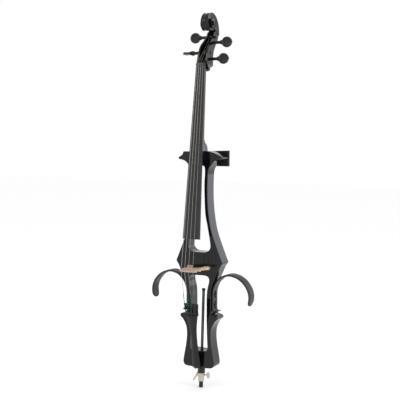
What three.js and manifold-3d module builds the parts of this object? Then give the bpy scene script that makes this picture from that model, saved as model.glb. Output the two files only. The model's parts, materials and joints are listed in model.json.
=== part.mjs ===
// Electric cello with a skeleton body, retracted endpin, knee rests and chest rest.
// Lengths are millimetres. +Z is up, the strings face -Y and +X is the viewer's right.
// The origin is the middle of the rubber foot's sole, where the instrument meets the floor.

import * as THREE from "three";
import { mergeVertices } from "three/addons/utils/BufferGeometryUtils.js";
import Module from "manifold-3d";

const wasm = await Module();
wasm.setup();

// Clearances and general fits
const seatGap = 0.3;
const runningGap = 0.4;
const cutOverrun = 6;
const weldDistance = 0.001;
const degree = Math.PI / 180;
const arcSteps = 4;

// Body: one thick board sawn to an open outline
const bodyHeight = 744.3;
const bodyHalfWidth = 87.3;
const bodyDepth = 52.4;
const bodyEdgeRound = 2.5;
const bodyGroundGap = 75;

// Outlines of the body and its two windows, half width and height as shares of the body's
const sideShares = [
  [0, 0], [0.344, 0.0008], [0.527, 0.0024], [0.624, 0.0078], [0.669, 0.0188], [0.628, 0.0578],
  [0.552, 0.1075], [0.519, 0.1545], [0.557, 0.1894], [0.699, 0.2203], [0.79, 0.2304], [0.82, 0.2385],
  [0.782, 0.2459], [0.687, 0.2498], [0.584, 0.2537], [0.543, 0.2607], [0.534, 0.2821], [0.534, 0.3292],
  [0.536, 0.3695], [0.63, 0.4044], [0.768, 0.4393], [0.911, 0.4756], [0.985, 0.4884], [1, 0.4964],
  [0.96, 0.5079], [0.717, 0.5775], [0.6, 0.6127], [0.506, 0.6489], [0.417, 0.7054], [0.355, 0.7752],
  [0.346, 0.8545], [0.384, 0.9163], [0.493, 0.9378], [0.63, 0.9546], [0.81, 0.9622], [0.91, 0.9643],
  [0.947, 0.9703], [0.91, 0.9772], [0.756, 0.9869], [0.573, 0.9953], [0.389, 1], [0.3, 1],
  [0, 1],
];
const upperWindowShares = [
  [0, 0.5388], [0.252, 0.5396], [0.401, 0.5468], [0.475, 0.5589], [0.481, 0.5764], [0.378, 0.6449],
  [0.258, 0.7148], [0.22, 0.7846], [0.208, 0.8545], [0.225, 0.9176], [0.189, 0.9331], [0.097, 0.9397],
  [0, 0.9405],
];
const lowerWindowShares = [
  [0, 0.0793], [0.252, 0.0797], [0.344, 0.0833], [0.385, 0.094], [0.378, 0.1209], [0.354, 0.1881],
  [0.342, 0.2512], [0.346, 0.3426], [0.378, 0.3762], [0.431, 0.4004], [0.438, 0.4152], [0.38, 0.4266],
  [0.252, 0.431], [0, 0.4313],
];
const waistSideShare = 0.534;

// Strings and their spread
const stringLength = 690;
const nutSpread = 11;
const bridgeSpread = 21.8;
const tailSpread = 19.5;
const stringShares = { c: -1, g: -1 / 3, d: 1 / 3, a: 1 };
const stringRadii = { c: 0.8, g: 0.65, d: 0.5, a: 0.4 };
const stringSides = 6;
const windingTurns = 3;
const windingSteps = 24;
const windingPitchGap = 0.6;
const ballRadius = 2.4;

// Bridge
const bridgeFootHalf = 45.5;
const bridgeCrownRadius = 68;
const bridgeFootThickness = 11;
const bridgeTopThickness = 3;
const bridgePlaceShare = 0.4689;
const bridgeSideShares = [
  [0, 1], [0.154, 0.996], [0.479, 0.961], [0.62, 0.928], [0.702, 0.89], [0.712, 0.835],
  [0.674, 0.779], [0.549, 0.753], [0.473, 0.703], [0.495, 0.648], [0.604, 0.632], [0.736, 0.659],
  [0.813, 0.632], [0.824, 0.571], [0.747, 0.522], [0.659, 0.495], [0.633, 0.451], [0.681, 0.374],
  [0.769, 0.275], [0.868, 0.154], [0.978, 0.088], [1, 0.055], [1, 0.013], [0.974, 0],
  [0.582, 0], [0.554, 0.013], [0.556, 0.055], [0.549, 0.11], [0.495, 0.22], [0.374, 0.319],
  [0.198, 0.379], [0, 0.396],
];
const bridgeHeartShares = [
  [0, 0.643], [0.066, 0.67], [0.143, 0.665], [0.165, 0.621], [0.11, 0.555], [0, 0.489],
];

// Neck, fingerboard and nut
const fingerboardLength = 585;
const boardTiltDegrees = 6.005008;
const stringClearance = 8.98403;
const nutSetback = 1.6;
const nutHalfWidth = 16.5;
const boardEndHalfWidth = 32;
const boardRadius = 62;
const boardEdge = 6.5;
const boardHollow = 3.2;
const boardHollowMargin = 14;
const nutThickness = 8;
const nutRise = 1.2;
const neckStock = 21;
const neckSideInset = 0.7;
const neckRootLap = 28;
const heelDepth = 46.5;
const heelRise = 27;
const heelShares = { start: 1.6, foot: 0.25, dome: 0.85 };
const neckSwell = 2;

// Head: pegbox and scroll
const pegboxSet = 6.4;
const pegboxHalfWidth = 20.6;
const cheekWall = 5.5;
const headHeight = 183;
const eyeHeightShare = 0.7934426;
const eyeBack = 58.4;
const headProfileShares = {
  front: [
    [0.234, 0.03], [0.262, 0.125], [0.312, 0.195], [0.418, 0.29], [0.598, 0.388], [0.815, 0.454],
    [1, 0.507], [1.165, 0.557], [1.32, 0.612], [1.4, 0.655],
  ],
  back: [
    [1.96, 0.7], [1.97, 0.615], [1.84, 0.522], [1.62, 0.449], [1.43, 0.394], [1.25, 0.328],
    [1.105, 0.241], [1.035, 0.153], [1.008, 0.06], [0.975, 0.012], [0.9, -0.035], [0.78, -0.066],
    [0.63, -0.075], [0.47, -0.066], [0.4, -0.03],
  ],
};
const headTaperShares = [
  [1, -0.09], [0.995, 0.02], [0.92, 0.2], [0.83, 0.372], [0.7, 0.475], [0.635, 0.57], [0.65, 0.85],
];
const troughFrontShare = 0.05;
const troughMouthShare = -0.4;
const troughProfileShares = [
  [0.78, 0.055], [0.86, 0.115], [0.93, 0.235], [1.02, 0.32], [1.18, 0.385], [1.42, 0.44],
  [1.66, 0.5], [1.72, 0.555], [1.68, 0.605], [1.45, 0.612], [1.15, 0.6],
];
const volute = {
  startAngle: -30,
  stepAngle: 15,
  steps: 62,
  swellFallAngle: 108,
  swellShare: 0.21311475,
  turnRadiusShare: 0.15027322,
  eyeEdgeShare: 0.04371585,
  eyeButtonShare: 0.03005464,
  topHalfShare: 0.59708738,
  rootHalfShare: 0.73786408,
  eyeHalfShare: 1.18932039,
  topAngle: 120,
  scoop: 1.9,
  flute: 2,
};

// Pegs: height above the nut and depth behind the body's front as shares of the head's
const pegs = [
  { string: "a", side: 1, upShare: 0.13005464, backShare: 0.68493151, windShare: 0.62, faceTurn: 0 },
  { string: "c", side: -1, upShare: 0.25136612, backShare: 0.74486301, windShare: -0.72, faceTurn: 90 },
  { string: "d", side: 1, upShare: 0.45027322, backShare: 1.19863014, windShare: 0.22, faceTurn: 0 },
  { string: "g", side: -1, upShare: 0.56284153, backShare: 1.44691781, windShare: -0.22, faceTurn: 0 },
];
const pegCheekShare = 0.93;
const pegShaftRadius = 5.2;
const pegTipRadius = 4.3;
const pegCollarRadius = 8;
const pegCollarLength = 5;
const pegReach = 48.7;
const pegHeadRadius = 17.3;
const pegHeadThickness = 9.5;
const pegHeadDish = 2.2;
const pegRimShare = 0.35;

// Tailpiece and its fine tuners
const tailLength = 234.3;
const tailTopRise = 56.8;
const tailFootRise = 11.9;
const tailFootLift = 2;
const tailHalfWidth = 27.3;
const tailCrown = 5.5;
const tailEdge = 4;
const tailCrownShares = { least: 0.45, rise: 0.55555556 };
const tailGrooveLength = 22;
const tailCordLap = 20;
const tailCordLead = 3;
const tailSideShares = [
  [0.5, 0], [0.53, 0.03], [0.525, 0.12], [0.47, 0.22], [0.415, 0.34], [0.405, 0.45],
  [0.45, 0.58], [0.63, 0.73], [0.86, 0.87], [0.985, 0.97], [1, 1],
];
const tuner = {
  place: 214,
  slotHalf: 2.6,
  slotLength: 19,
  armWidth: 4.2,
  armLength: 24,
  armThickness: 3,
  hookRise: 8,
  hookThickness: 3,
  hookFoot: 4.8,
  hookForkShare: 0.1,
  hookSlotHalf: 1.1,
  screwRadius: 1.7,
  screwHeadRadius: 4,
  screwHeadLength: 7,
  screwNeckLength: 3.5,
  screwBack: 21,
};
const tailCordRadius = 1.6;
const tailCordSpread = 7.5;

// Endpin and its socket
const endpinLean = 2.8;
const endpinInset = 25.9;
const rodRadius = 5;
const rodTopShare = 0.46486632;
const rodCapLength = 9;
const rodCapWall = 1.1;
const spikeRadius = 3;
const spikeLength = 10;
const footRadius = 7.3;
const footHeight = 21.5;
const footWall = 2.6;
const footSpikeDepth = 9;
const collarTop = 50.5;
const collarRadius = 12.8;
const collarNeckTop = 38.5;
const collarNeckRadius = 10.2;
const collarFoot = 22.4;
const plugRadius = 13;
const plugNeckRadius = 10.8;
const plugConeRadius = 12;
const plugConeLength = 34;
const wing = { height: 45, shaftRadius: 1.8, shaftLength: 7, halfTall: 11.5, halfWide: 7, thickness: 3 };
const lever = { height: 47, shaftRadius: 1.6, thickness: 2.4, width: 9, reach: 15, drop: 25 };

// Knee rests: bent straps in rubber sleeves
const kneeReach = 135.8;
const kneeRiseShare = 0.17492946;
const kneeThickness = 3.5;
const kneeDepth = 38;
const kneeFrontInset = 6.5;
const kneeFootShare = 0.2651;
const kneePathShares = [
  [0.188, 0.02], [0.095, 0], [0.03, 0.008], [0, 0.06], [0, 0.215], [0, 0.49], [0.013, 0.59],
  [0.062, 0.72], [0.147, 0.85], [0.242, 0.937], [0.352, 0.98], [0.461, 1], [0.57, 0.983],
  [0.678, 0.948], [0.786, 0.879], [0.868, 0.796], [0.936, 0.698], [0.982, 0.586], [1, 0.472],
  [0.993, 0.367], [0.962, 0.24],
];
const kneeSteps = 2;
const sleeveStartShare = 0.4;
const sleeveEndShare = 0.9;
const sleeveWall = 2.4;
const sleeveRib = 1;
const sleeveRibCount = 20;
const kneeScrew = { lowShare: 0.17, highShare: 0.45, shaftRadius: 2.5, headRadius: 5.2, headHeight: 2.8 };
const kneeScrewDepth = 16;
const kneeSlotHalf = 9.5;

// Chest rest
const chestHalfWidth = 73;
const chestHeight = 55.5;
const chestPlateThickness = 6;
const chestPadThickness = 13;
const chestPadInset = 2.5;
const chestCorner = 9;
const chestBevel = 1;
const chestPadBevel = 4;
const chestStandOff = 4.6;
const chestPlaceShare = 0.9709;
const chestRodRadius = 4;
const chestRodSpread = 42;
const chestRodDepth = 38;

// Electronics behind the bridge
const bayHeightShare = 0.07523848;
const bayWidth = 84;
const bayCentreX = 20;
const bayDepth = 33;
const coverWall = 2.5;
const coverLip = 5;
const coverBevel = 0.6;
const panelPlaceShare = 0.487;
const potRadius = 8;
const potBodyLength = 8;
const potShaftRadius = 3;
const potShaftLength = 9;
const knobRadius = 9;
const knobHeight = 12;
const knobSpread = 17;
const knobRowRise = 14;
const jackRowDrop = 13;
const jackRadius = 5.5;
const jackLength = 24;
const jackBore = 3.2;
const jackNutRadius = 8;
const jackNutThickness = 2.5;
const phonesRadius = 4;
const phonesLength = 14;
const phonesBore = 1.8;
const phonesNutRadius = 5.5;
const phonesNutThickness = 2;
const switchWidth = 12;
const switchHeight = 6;
const switchDepth = 8;
const switchKnob = 3.6;
const switchKnobRise = 4;
const boardWidth = 62;
const boardHeight = 40;
const boardThickness = 1.6;
const boardStandOff = 3;
const pickupWidth = 16;
const pickupHeight = 7;
const pickupThickness = 2.6;
const pickupLeadRadius = 1;
const batteryWidth = 26.5;
const batteryLength = 48.5;
const batteryThickness = 17.5;
const batteryBoxWall = 1.5;
const batteryBoxCentreX = -48;
const batteryDoorThickness = 2.5;
const hingePinRadius = 1.5;
const barrelWall = 1.6;

// Saddle
const saddleWidth = 26;
const saddleHeight = 7;
const saddleRise = 3.5;

// Places worked out from the driving dimensions
const bodyBottom = bodyGroundGap;
const bodyTop = bodyBottom + bodyHeight;
const frontY = bodyGroundGap * Math.tan(endpinLean * degree) - endpinInset;
const backY = frontY + bodyDepth;
const heightAt = (share) => bodyBottom + bodyHeight * share;
const bridgeZ = heightAt(bridgePlaceShare);
const panelZ = heightAt(panelPlaceShare);
const chestZ = heightAt(chestPlaceShare);
const arcDrop = (radius, x) => radius - Math.sqrt(radius * radius - x * x);
const nutCrown = arcDrop(boardRadius, nutHalfWidth);
const boardTilt = boardTiltDegrees * degree;
const nutStringHeight = nutCrown + nutRise - nutSetback;
const boardEndHeight = fingerboardLength * Math.sin(boardTilt) - nutSetback
  + arcDrop(boardRadius, boardEndHalfWidth) * Math.cos(boardTilt);
const boardEndString = boardEndHeight + stringClearance;
const stringRise = (boardEndString - nutStringHeight) * (stringLength / fingerboardLength);
const bridgeHeight = nutStringHeight + stringRise;
const nutZ = bridgeZ + Math.sqrt(stringLength * stringLength - stringRise * stringRise);
const eyeHeight = eyeHeightShare * headHeight;
const pegY = (peg) => frontY + peg.backShare * eyeBack;
const pegZ = (peg) => nutZ + peg.upShare * headHeight;
const rodTop = rodTopShare * bodyHeight;
const kneeRise = kneeRiseShare * bodyHeight;
const bayHeight = bayHeightShare * bodyHeight;

// Frames: the fingerboard's, the tailpiece's and the endpin's are tilted
const cello = new THREE.Group();

function makeFrame(x, y, z, turnX) {
  const frame = new THREE.Group();
  frame.position.set(x, y, z);
  frame.rotation.x = turnX;
  cello.add(frame);
  frame.updateMatrixWorld(true);
  return frame;
}

const neckFrame = makeFrame(0, frontY + nutSetback, nutZ, -boardTilt);
const tailTilt = Math.asin((tailTopRise - tailFootRise) / tailLength);
const tailFrame = makeFrame(0, frontY - tailFootRise, bodyBottom + tailFootLift, tailTilt);
const endpinFrame = makeFrame(0, 0, 0, -endpinLean * degree);
const bridgeFrame = makeFrame(0, frontY - seatGap, bridgeZ, 0);

// Materials
function finish(color, roughness, metalness) {
  return new THREE.MeshStandardMaterial({ color, roughness, metalness });
}

const gloss = finish(0x0a0a0c, 0.06, 0);
const ebony = finish(0x151413, 0.4, 0);
const maple = finish(0xb8834a, 0.5, 0);
const satin = finish(0x131314, 0.45, 0);
const rubber = finish(0x1a1a1b, 0.85, 0);
const nickel = finish(0xb9aa92, 0.28, 1);
const steel = finish(0xb8b8ba, 0.3, 1);
const board = finish(0x1d5a34, 0.5, 0);
const cellSkin = finish(0x3a3a3d, 0.5, 0.2);

// Solids: a geometry becomes a closed solid for cuts and joins, and turns back into a geometry
function solid(geometry) {
  const bare = geometry.clone();
  bare.deleteAttribute("normal");
  bare.deleteAttribute("uv");
  const merged = mergeVertices(bare, weldDistance);
  const vertProperties = merged.attributes.position.array;
  const triVerts = new Uint32Array(merged.index.array);
  const made = new wasm.Manifold(new wasm.Mesh({ numProp: 3, vertProperties, triVerts }));
  if (made.volume() > 0) return made;
  for (let i = 0; i < triVerts.length; i += 3) {
    [triVerts[i + 1], triVerts[i + 2]] = [triVerts[i + 2], triVerts[i + 1]];
  }
  return new wasm.Manifold(new wasm.Mesh({ numProp: 3, vertProperties, triVerts }));
}

function geometryOf(shape) {
  const mesh = shape.getMesh();
  const geometry = new THREE.BufferGeometry();
  const places = new Float32Array(mesh.vertProperties);
  geometry.setAttribute("position", new THREE.BufferAttribute(places, 3));
  geometry.setIndex(new THREE.BufferAttribute(new Uint32Array(mesh.triVerts), 1));
  geometry.computeVertexNormals();
  return geometry;
}

function add(name, shape, material, parent = cello) {
  const mesh = new THREE.Mesh(geometryOf(shape), material);
  mesh.name = name;
  parent.add(mesh);
  return mesh;
}

// Forms along each axis
function slab(shape, depth, round = 0, steps = 1) {
  const geometry = new THREE.ExtrudeGeometry(shape, {
    depth: depth - 2 * round,
    bevelEnabled: round > 0,
    bevelThickness: round,
    bevelSize: round,
    bevelOffset: -round,
    bevelSegments: steps,
    curveSegments: arcSteps,
  });
  return geometry.translate(0, 0, round);
}

// A slab drawn in X and Z that reaches from the depth y0 to the depth y1
function slabAlongY(shape, y0, y1, round = 0, steps = 1) {
  return slab(shape, y1 - y0, round, steps).rotateX(90 * degree).translate(0, y1, 0);
}

// A slab drawn in Y and Z that reaches from x0 to x1
function slabAlongX(shape, x0, x1, round = 0, steps = 1) {
  const axes = new THREE.Matrix4().makeBasis(
    new THREE.Vector3(0, 1, 0),
    new THREE.Vector3(0, 0, 1),
    new THREE.Vector3(1, 0, 0),
  );
  return slab(shape, x1 - x0, round, steps).applyMatrix4(axes).translate(x0, 0, 0);
}

function box(x0, x1, y0, y1, z0, z1) {
  const geometry = new THREE.BoxGeometry(x1 - x0, y1 - y0, z1 - z0);
  return geometry.translate((x0 + x1) / 2, (y0 + y1) / 2, (z0 + z1) / 2);
}

function rounded(x0, x1, z0, z1, radius) {
  const shape = new THREE.Shape();
  shape.moveTo(x0 + radius, z0);
  shape.lineTo(x1 - radius, z0);
  shape.absarc(x1 - radius, z0 + radius, radius, -90 * degree, 0);
  shape.lineTo(x1, z1 - radius);
  shape.absarc(x1 - radius, z1 - radius, radius, 0, 90 * degree);
  shape.lineTo(x0 + radius, z1);
  shape.absarc(x0 + radius, z1 - radius, radius, 90 * degree, 180 * degree);
  shape.lineTo(x0, z0 + radius);
  shape.absarc(x0 + radius, z0 + radius, radius, 180 * degree, 270 * degree);
  return shape;
}

// A turned piece: pairs of radius and distance along the axis, from axis to axis
const axisX = new THREE.Vector3(1, 0, 0);
const axisY = new THREE.Vector3(0, 1, 0);
const axisZ = new THREE.Vector3(0, 0, 1);

function turned(profile, axis = axisZ, sides = 20) {
  const geometry = new THREE.LatheGeometry(
    profile.map(([radius, along]) => new THREE.Vector2(radius, along)),
    sides,
  );
  return geometry.applyQuaternion(new THREE.Quaternion().setFromUnitVectors(axisY, axis));
}

function rod(radius, from, to, axis = axisZ, sides = 20) {
  return turned([[0, from], [radius, from], [radius, to], [0, to]], axis, sides);
}

// A smooth closed outline through points given for the right half only, mirrored to the left
function mirroredOutline(shares, halfWidth, height, steps) {
  const right = shares.map(([x, z]) => new THREE.Vector3(x * halfWidth, z * height, 0));
  const left = right.slice(1, -1).reverse();
  const ring = right.concat(left.map((p) => new THREE.Vector3(-p.x, p.y, 0)));
  const curve = new THREE.CatmullRomCurve3(ring, true, "centripetal");
  const points = curve.getPoints(ring.length * steps).slice(0, -1);
  return points.map((p) => new THREE.Vector2(p.x, p.y));
}

function smoothShape(points, steps) {
  const ring = points.map(([x, y]) => new THREE.Vector3(x, y, 0));
  const curve = new THREE.CatmullRomCurve3(ring, true, "centripetal");
  const found = curve.getPoints(ring.length * steps).slice(0, -1);
  return new THREE.Shape(found.map((p) => new THREE.Vector2(p.x, p.y)));
}

// A skin over rings of equal count, closed at both ends by fans to each end's middle
function loft(rings) {
  const count = rings[0].length;
  const places = [];
  rings.flat().forEach((p) => places.push(p.x, p.y, p.z));
  const faces = [];
  for (let r = 0; r + 1 < rings.length; r++) {
    for (let k = 0; k < count; k++) {
      const a = r * count + k;
      const b = r * count + ((k + 1) % count);
      faces.push(a, b, b + count, a, b + count, a + count);
    }
  }
  [0, rings.length - 1].forEach((r) => {
    const middle = new THREE.Vector3();
    rings[r].forEach((p) => middle.addScaledVector(p, 1 / count));
    const centre = places.length / 3;
    places.push(middle.x, middle.y, middle.z);
    for (let k = 0; k < count; k++) {
      const a = r * count + k;
      const b = r * count + ((k + 1) % count);
      if (r === 0) faces.push(b, a, centre);
      else faces.push(a, b, centre);
    }
  });
  const geometry = new THREE.BufferGeometry();
  geometry.setAttribute("position", new THREE.Float32BufferAttribute(places, 3));
  geometry.setIndex(faces);
  return geometry;
}

// A round cord along hand-placed points, its rings carried without twist
function cordAlong(points, radius, sides) {
  const rings = [];
  let normal = null;
  points.forEach((p, i) => {
    const before = points[Math.max(i - 1, 0)];
    const after = points[Math.min(i + 1, points.length - 1)];
    const tangent = after.clone().sub(before).normalize();
    if (!normal) {
      const aside = Math.abs(tangent.x) > 0.7 ? axisZ : axisX;
      normal = aside.clone();
    }
    normal = normal.sub(tangent.clone().multiplyScalar(normal.dot(tangent))).normalize();
    const side = tangent.clone().cross(normal);
    const ring = [];
    for (let k = 0; k < sides; k++) {
      const turn = (k / sides) * 2 * Math.PI;
      const spoke = normal.clone().multiplyScalar(Math.cos(turn) * radius);
      ring.push(p.clone().add(spoke).addScaledVector(side, Math.sin(turn) * radius));
    }
    rings.push(ring);
  });
  return loft(rings);
}

// String routes: a winding on the peg, the nut, the bridge and the tuner's hook
const boardCrownAt = (x, half) => -(arcDrop(boardRadius, half) - arcDrop(boardRadius, x));
const bridgeTopAt = (x) => -(bridgeHeight - arcDrop(bridgeCrownRadius, x));
const tailHookAt = (x) => new THREE.Vector3(
  x,
  -tailCrown - tuner.hookRise / 2,
  tuner.place + tuner.slotLength / 2 - tuner.hookThickness - seatGap - ballRadius,
);

function stringRoute(name) {
  const radius = stringRadii[name];
  const share = stringShares[name];
  const peg = pegs.find((p) => p.string === name);
  const centre = new THREE.Vector3(0, pegY(peg), pegZ(peg));
  const nutX = share * nutSpread;
  const nutTop = boardCrownAt(nutX, nutHalfWidth) - nutRise;
  const nutHigh = neckFrame.localToWorld(new THREE.Vector3(nutX, nutTop, nutThickness));
  const nutLow = neckFrame.localToWorld(new THREE.Vector3(nutX, nutTop, 0));
  const bridgeX = share * bridgeSpread;
  const half = bridgeTopThickness / 2;
  const topY = bridgeTopAt(bridgeX) + radius / 2;
  const bridgeHigh = bridgeFrame.localToWorld(new THREE.Vector3(bridgeX, topY, half));
  const bridgeLow = bridgeFrame.localToWorld(new THREE.Vector3(bridgeX, topY, -half));
  const hook = tailFrame.localToWorld(tailHookAt(share * tailSpread));

  const ride = pegShaftRadius + radius + runningGap;
  const toNut = new THREE.Vector2(nutHigh.y - centre.y, nutHigh.z - centre.z);
  const leave = Math.atan2(toNut.y, toNut.x) - Math.acos(ride / toNut.length());
  const pitch = 2 * radius + windingPitchGap;
  const count = windingTurns * windingSteps;
  const windX = peg.windShare * nutSpread;
  const inward = -Math.sign(share);
  const points = [];
  for (let k = 0; k <= count; k++) {
    const back = 1 - k / count;
    const turn = leave + back * windingTurns * 2 * Math.PI * windingSense(toNut, leave);
    const x = windX + inward * back * windingTurns * pitch;
    points.push(new THREE.Vector3(x, centre.y + ride * Math.cos(turn), centre.z + ride * Math.sin(turn)));
  }
  return points.concat([nutHigh, nutLow, bridgeHigh, bridgeLow, hook]);
}

// The way round the peg that ends heading for the nut
function windingSense(toNut, leave) {
  const heading = -Math.sin(leave) * toNut.x + Math.cos(leave) * toNut.y;
  return heading > 0 ? -1 : 1;
}

function leastSelfGap(points, radius) {
  let least = Infinity;
  const apart = Math.floor(windingSteps / 2);
  for (let i = 0; i < points.length; i++) {
    for (let j = i + apart; j < points.length; j++) {
      least = Math.min(least, points[i].distanceTo(points[j]) - 2 * radius);
    }
  }
  return least;
}

const routes = {};
Object.keys(stringShares).forEach((name) => {
  routes[name] = stringRoute(name);
  const gap = leastSelfGap(routes[name], stringRadii[name]);
  console.log("string " + name + " least gap to itself " + gap.toFixed(2) + " mm");
});

function stringCutters(frame) {
  return Object.keys(stringShares).map((name) => {
    const local = routes[name].slice(-5).map((p) => frame.worldToLocal(p.clone()));
    return solid(cordAlong(local, stringRadii[name] + seatGap, stringSides));
  });
}

function addStrings() {
  Object.keys(stringShares).forEach((name) => {
    const route = routes[name];
    const cord = solid(cordAlong(route, stringRadii[name], stringSides));
    const end = route[route.length - 1];
    const ball = new THREE.SphereGeometry(ballRadius, 8, 6).translate(end.x, end.y, end.z);
    add("string_" + name, cord.add(solid(ball)), steel);
  });
}

// Body with its windows, bays and bores
function endpinBore(radius) {
  const bore = rod(radius, 0, rodTop + cutOverrun, axisZ, 24);
  return solid(bore.applyMatrix4(endpinFrame.matrixWorld));
}

function kneeScrewPlaces() {
  return [kneeScrew.lowShare, kneeScrew.highShare].map(
    (share) => heightAt(kneeFootShare) + kneeRise * share,
  );
}

const kneeY = frontY + kneeFrontInset;
const kneeMiddleY = kneeY + kneeDepth / 2;
const kneeRootX = bodyHalfWidth * waistSideShare + 2 * runningGap + kneeThickness / 2;
const bayLeft = bayCentreX - bayWidth / 2;
const bayRight = bayCentreX + bayWidth / 2;
const bayLow = panelZ - bayHeight / 2;
const bayHigh = panelZ + bayHeight / 2;
const bayFloorY = backY - bayDepth;
const batteryHalf = batteryWidth / 2 + batteryBoxWall + seatGap;
const batteryBoxHalfHeight = batteryLength / 2 + batteryBoxWall + seatGap;
const batteryBoxDepth = batteryThickness + batteryBoxWall + 2 * seatGap;
const footEnds = bridgeSideShares.filter(([, z]) => z === 0).map(([x]) => x * bridgeFootHalf);
const pickupX = (footEnds[0] + footEnds[1]) / 2;

function makeBody() {
  const shape = new THREE.Shape(mirroredOutline(sideShares, bodyHalfWidth, bodyHeight, 2));
  [upperWindowShares, lowerWindowShares].forEach((shares) => {
    shape.holes.push(new THREE.Path(mirroredOutline(shares, bodyHalfWidth, bodyHeight, 2)));
  });
  let body = solid(slabAlongY(shape, frontY, backY, bodyEdgeRound, 1).translate(0, 0, bodyBottom));
  const cuts = [endpinBore(rodRadius + runningGap)];
  const cone = turned(
    [
      [0, -cutOverrun],
      [plugConeRadius + seatGap, -cutOverrun],
      [plugConeRadius + seatGap, 0],
      [plugNeckRadius + seatGap, plugConeLength + seatGap],
      [0, plugConeLength + seatGap],
    ],
    axisZ,
    24,
  ).translate(0, 0, bodyBottom / Math.cos(endpinLean * degree));
  cuts.push(solid(cone.applyMatrix4(endpinFrame.matrixWorld)));

  const bayShape = rounded(bayLeft, bayRight, bayLow, bayHigh, coverLip);
  cuts.push(solid(slabAlongY(bayShape, bayFloorY, backY + cutOverrun)));
  const lipShape = rounded(
    bayLeft - coverLip - seatGap,
    bayRight + coverLip + seatGap,
    bayLow - coverLip - seatGap,
    bayHigh + coverLip + seatGap,
    coverLip,
  );
  cuts.push(solid(slabAlongY(lipShape, backY - coverWall - seatGap, backY + cutOverrun)));
  const boxReach = batteryHalf + seatGap;
  const boxTall = batteryBoxHalfHeight + seatGap;
  cuts.push(solid(box(
    batteryBoxCentreX - boxReach,
    batteryBoxCentreX + boxReach,
    backY - batteryBoxDepth - batteryDoorThickness - 2 * seatGap,
    backY + cutOverrun,
    panelZ - boxTall,
    panelZ + boxTall,
  )));

  [-1, 1].forEach((side) => {
    kneeScrewPlaces().forEach((z) => {
      const hole = rod(kneeScrew.shaftRadius + seatGap, 0, kneeScrewDepth + bodyHalfWidth, axisX, 12);
      hole.translate(kneeRootX - kneeScrewDepth, 0, 0);
      if (side < 0) hole.rotateZ(180 * degree);
      cuts.push(solid(hole.translate(0, kneeMiddleY, z)));
    });
    const chestBore = rod(chestRodRadius + runningGap, -chestRodDepth - seatGap, cutOverrun, axisY, 16);
    cuts.push(solid(chestBore.translate(side * chestRodSpread, backY, chestZ)));
    const recess = box(
      side * pickupX - pickupWidth / 2 - seatGap,
      side * pickupX + pickupWidth / 2 + seatGap,
      frontY - cutOverrun,
      frontY + pickupThickness + seatGap,
      bridgeZ - pickupHeight / 2 - seatGap,
      bridgeZ + pickupHeight / 2 + seatGap,
    );
    cuts.push(solid(recess));
  });
  const leadHole = rod(pickupLeadRadius + seatGap, 0, bodyDepth, axisY, 10);
  cuts.push(solid(leadHole.translate(pickupX, frontY + pickupThickness, bridgeZ)));
  cuts.forEach((cut) => {
    body = body.subtract(cut);
  });
  add("body", body, gloss);
}

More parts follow.
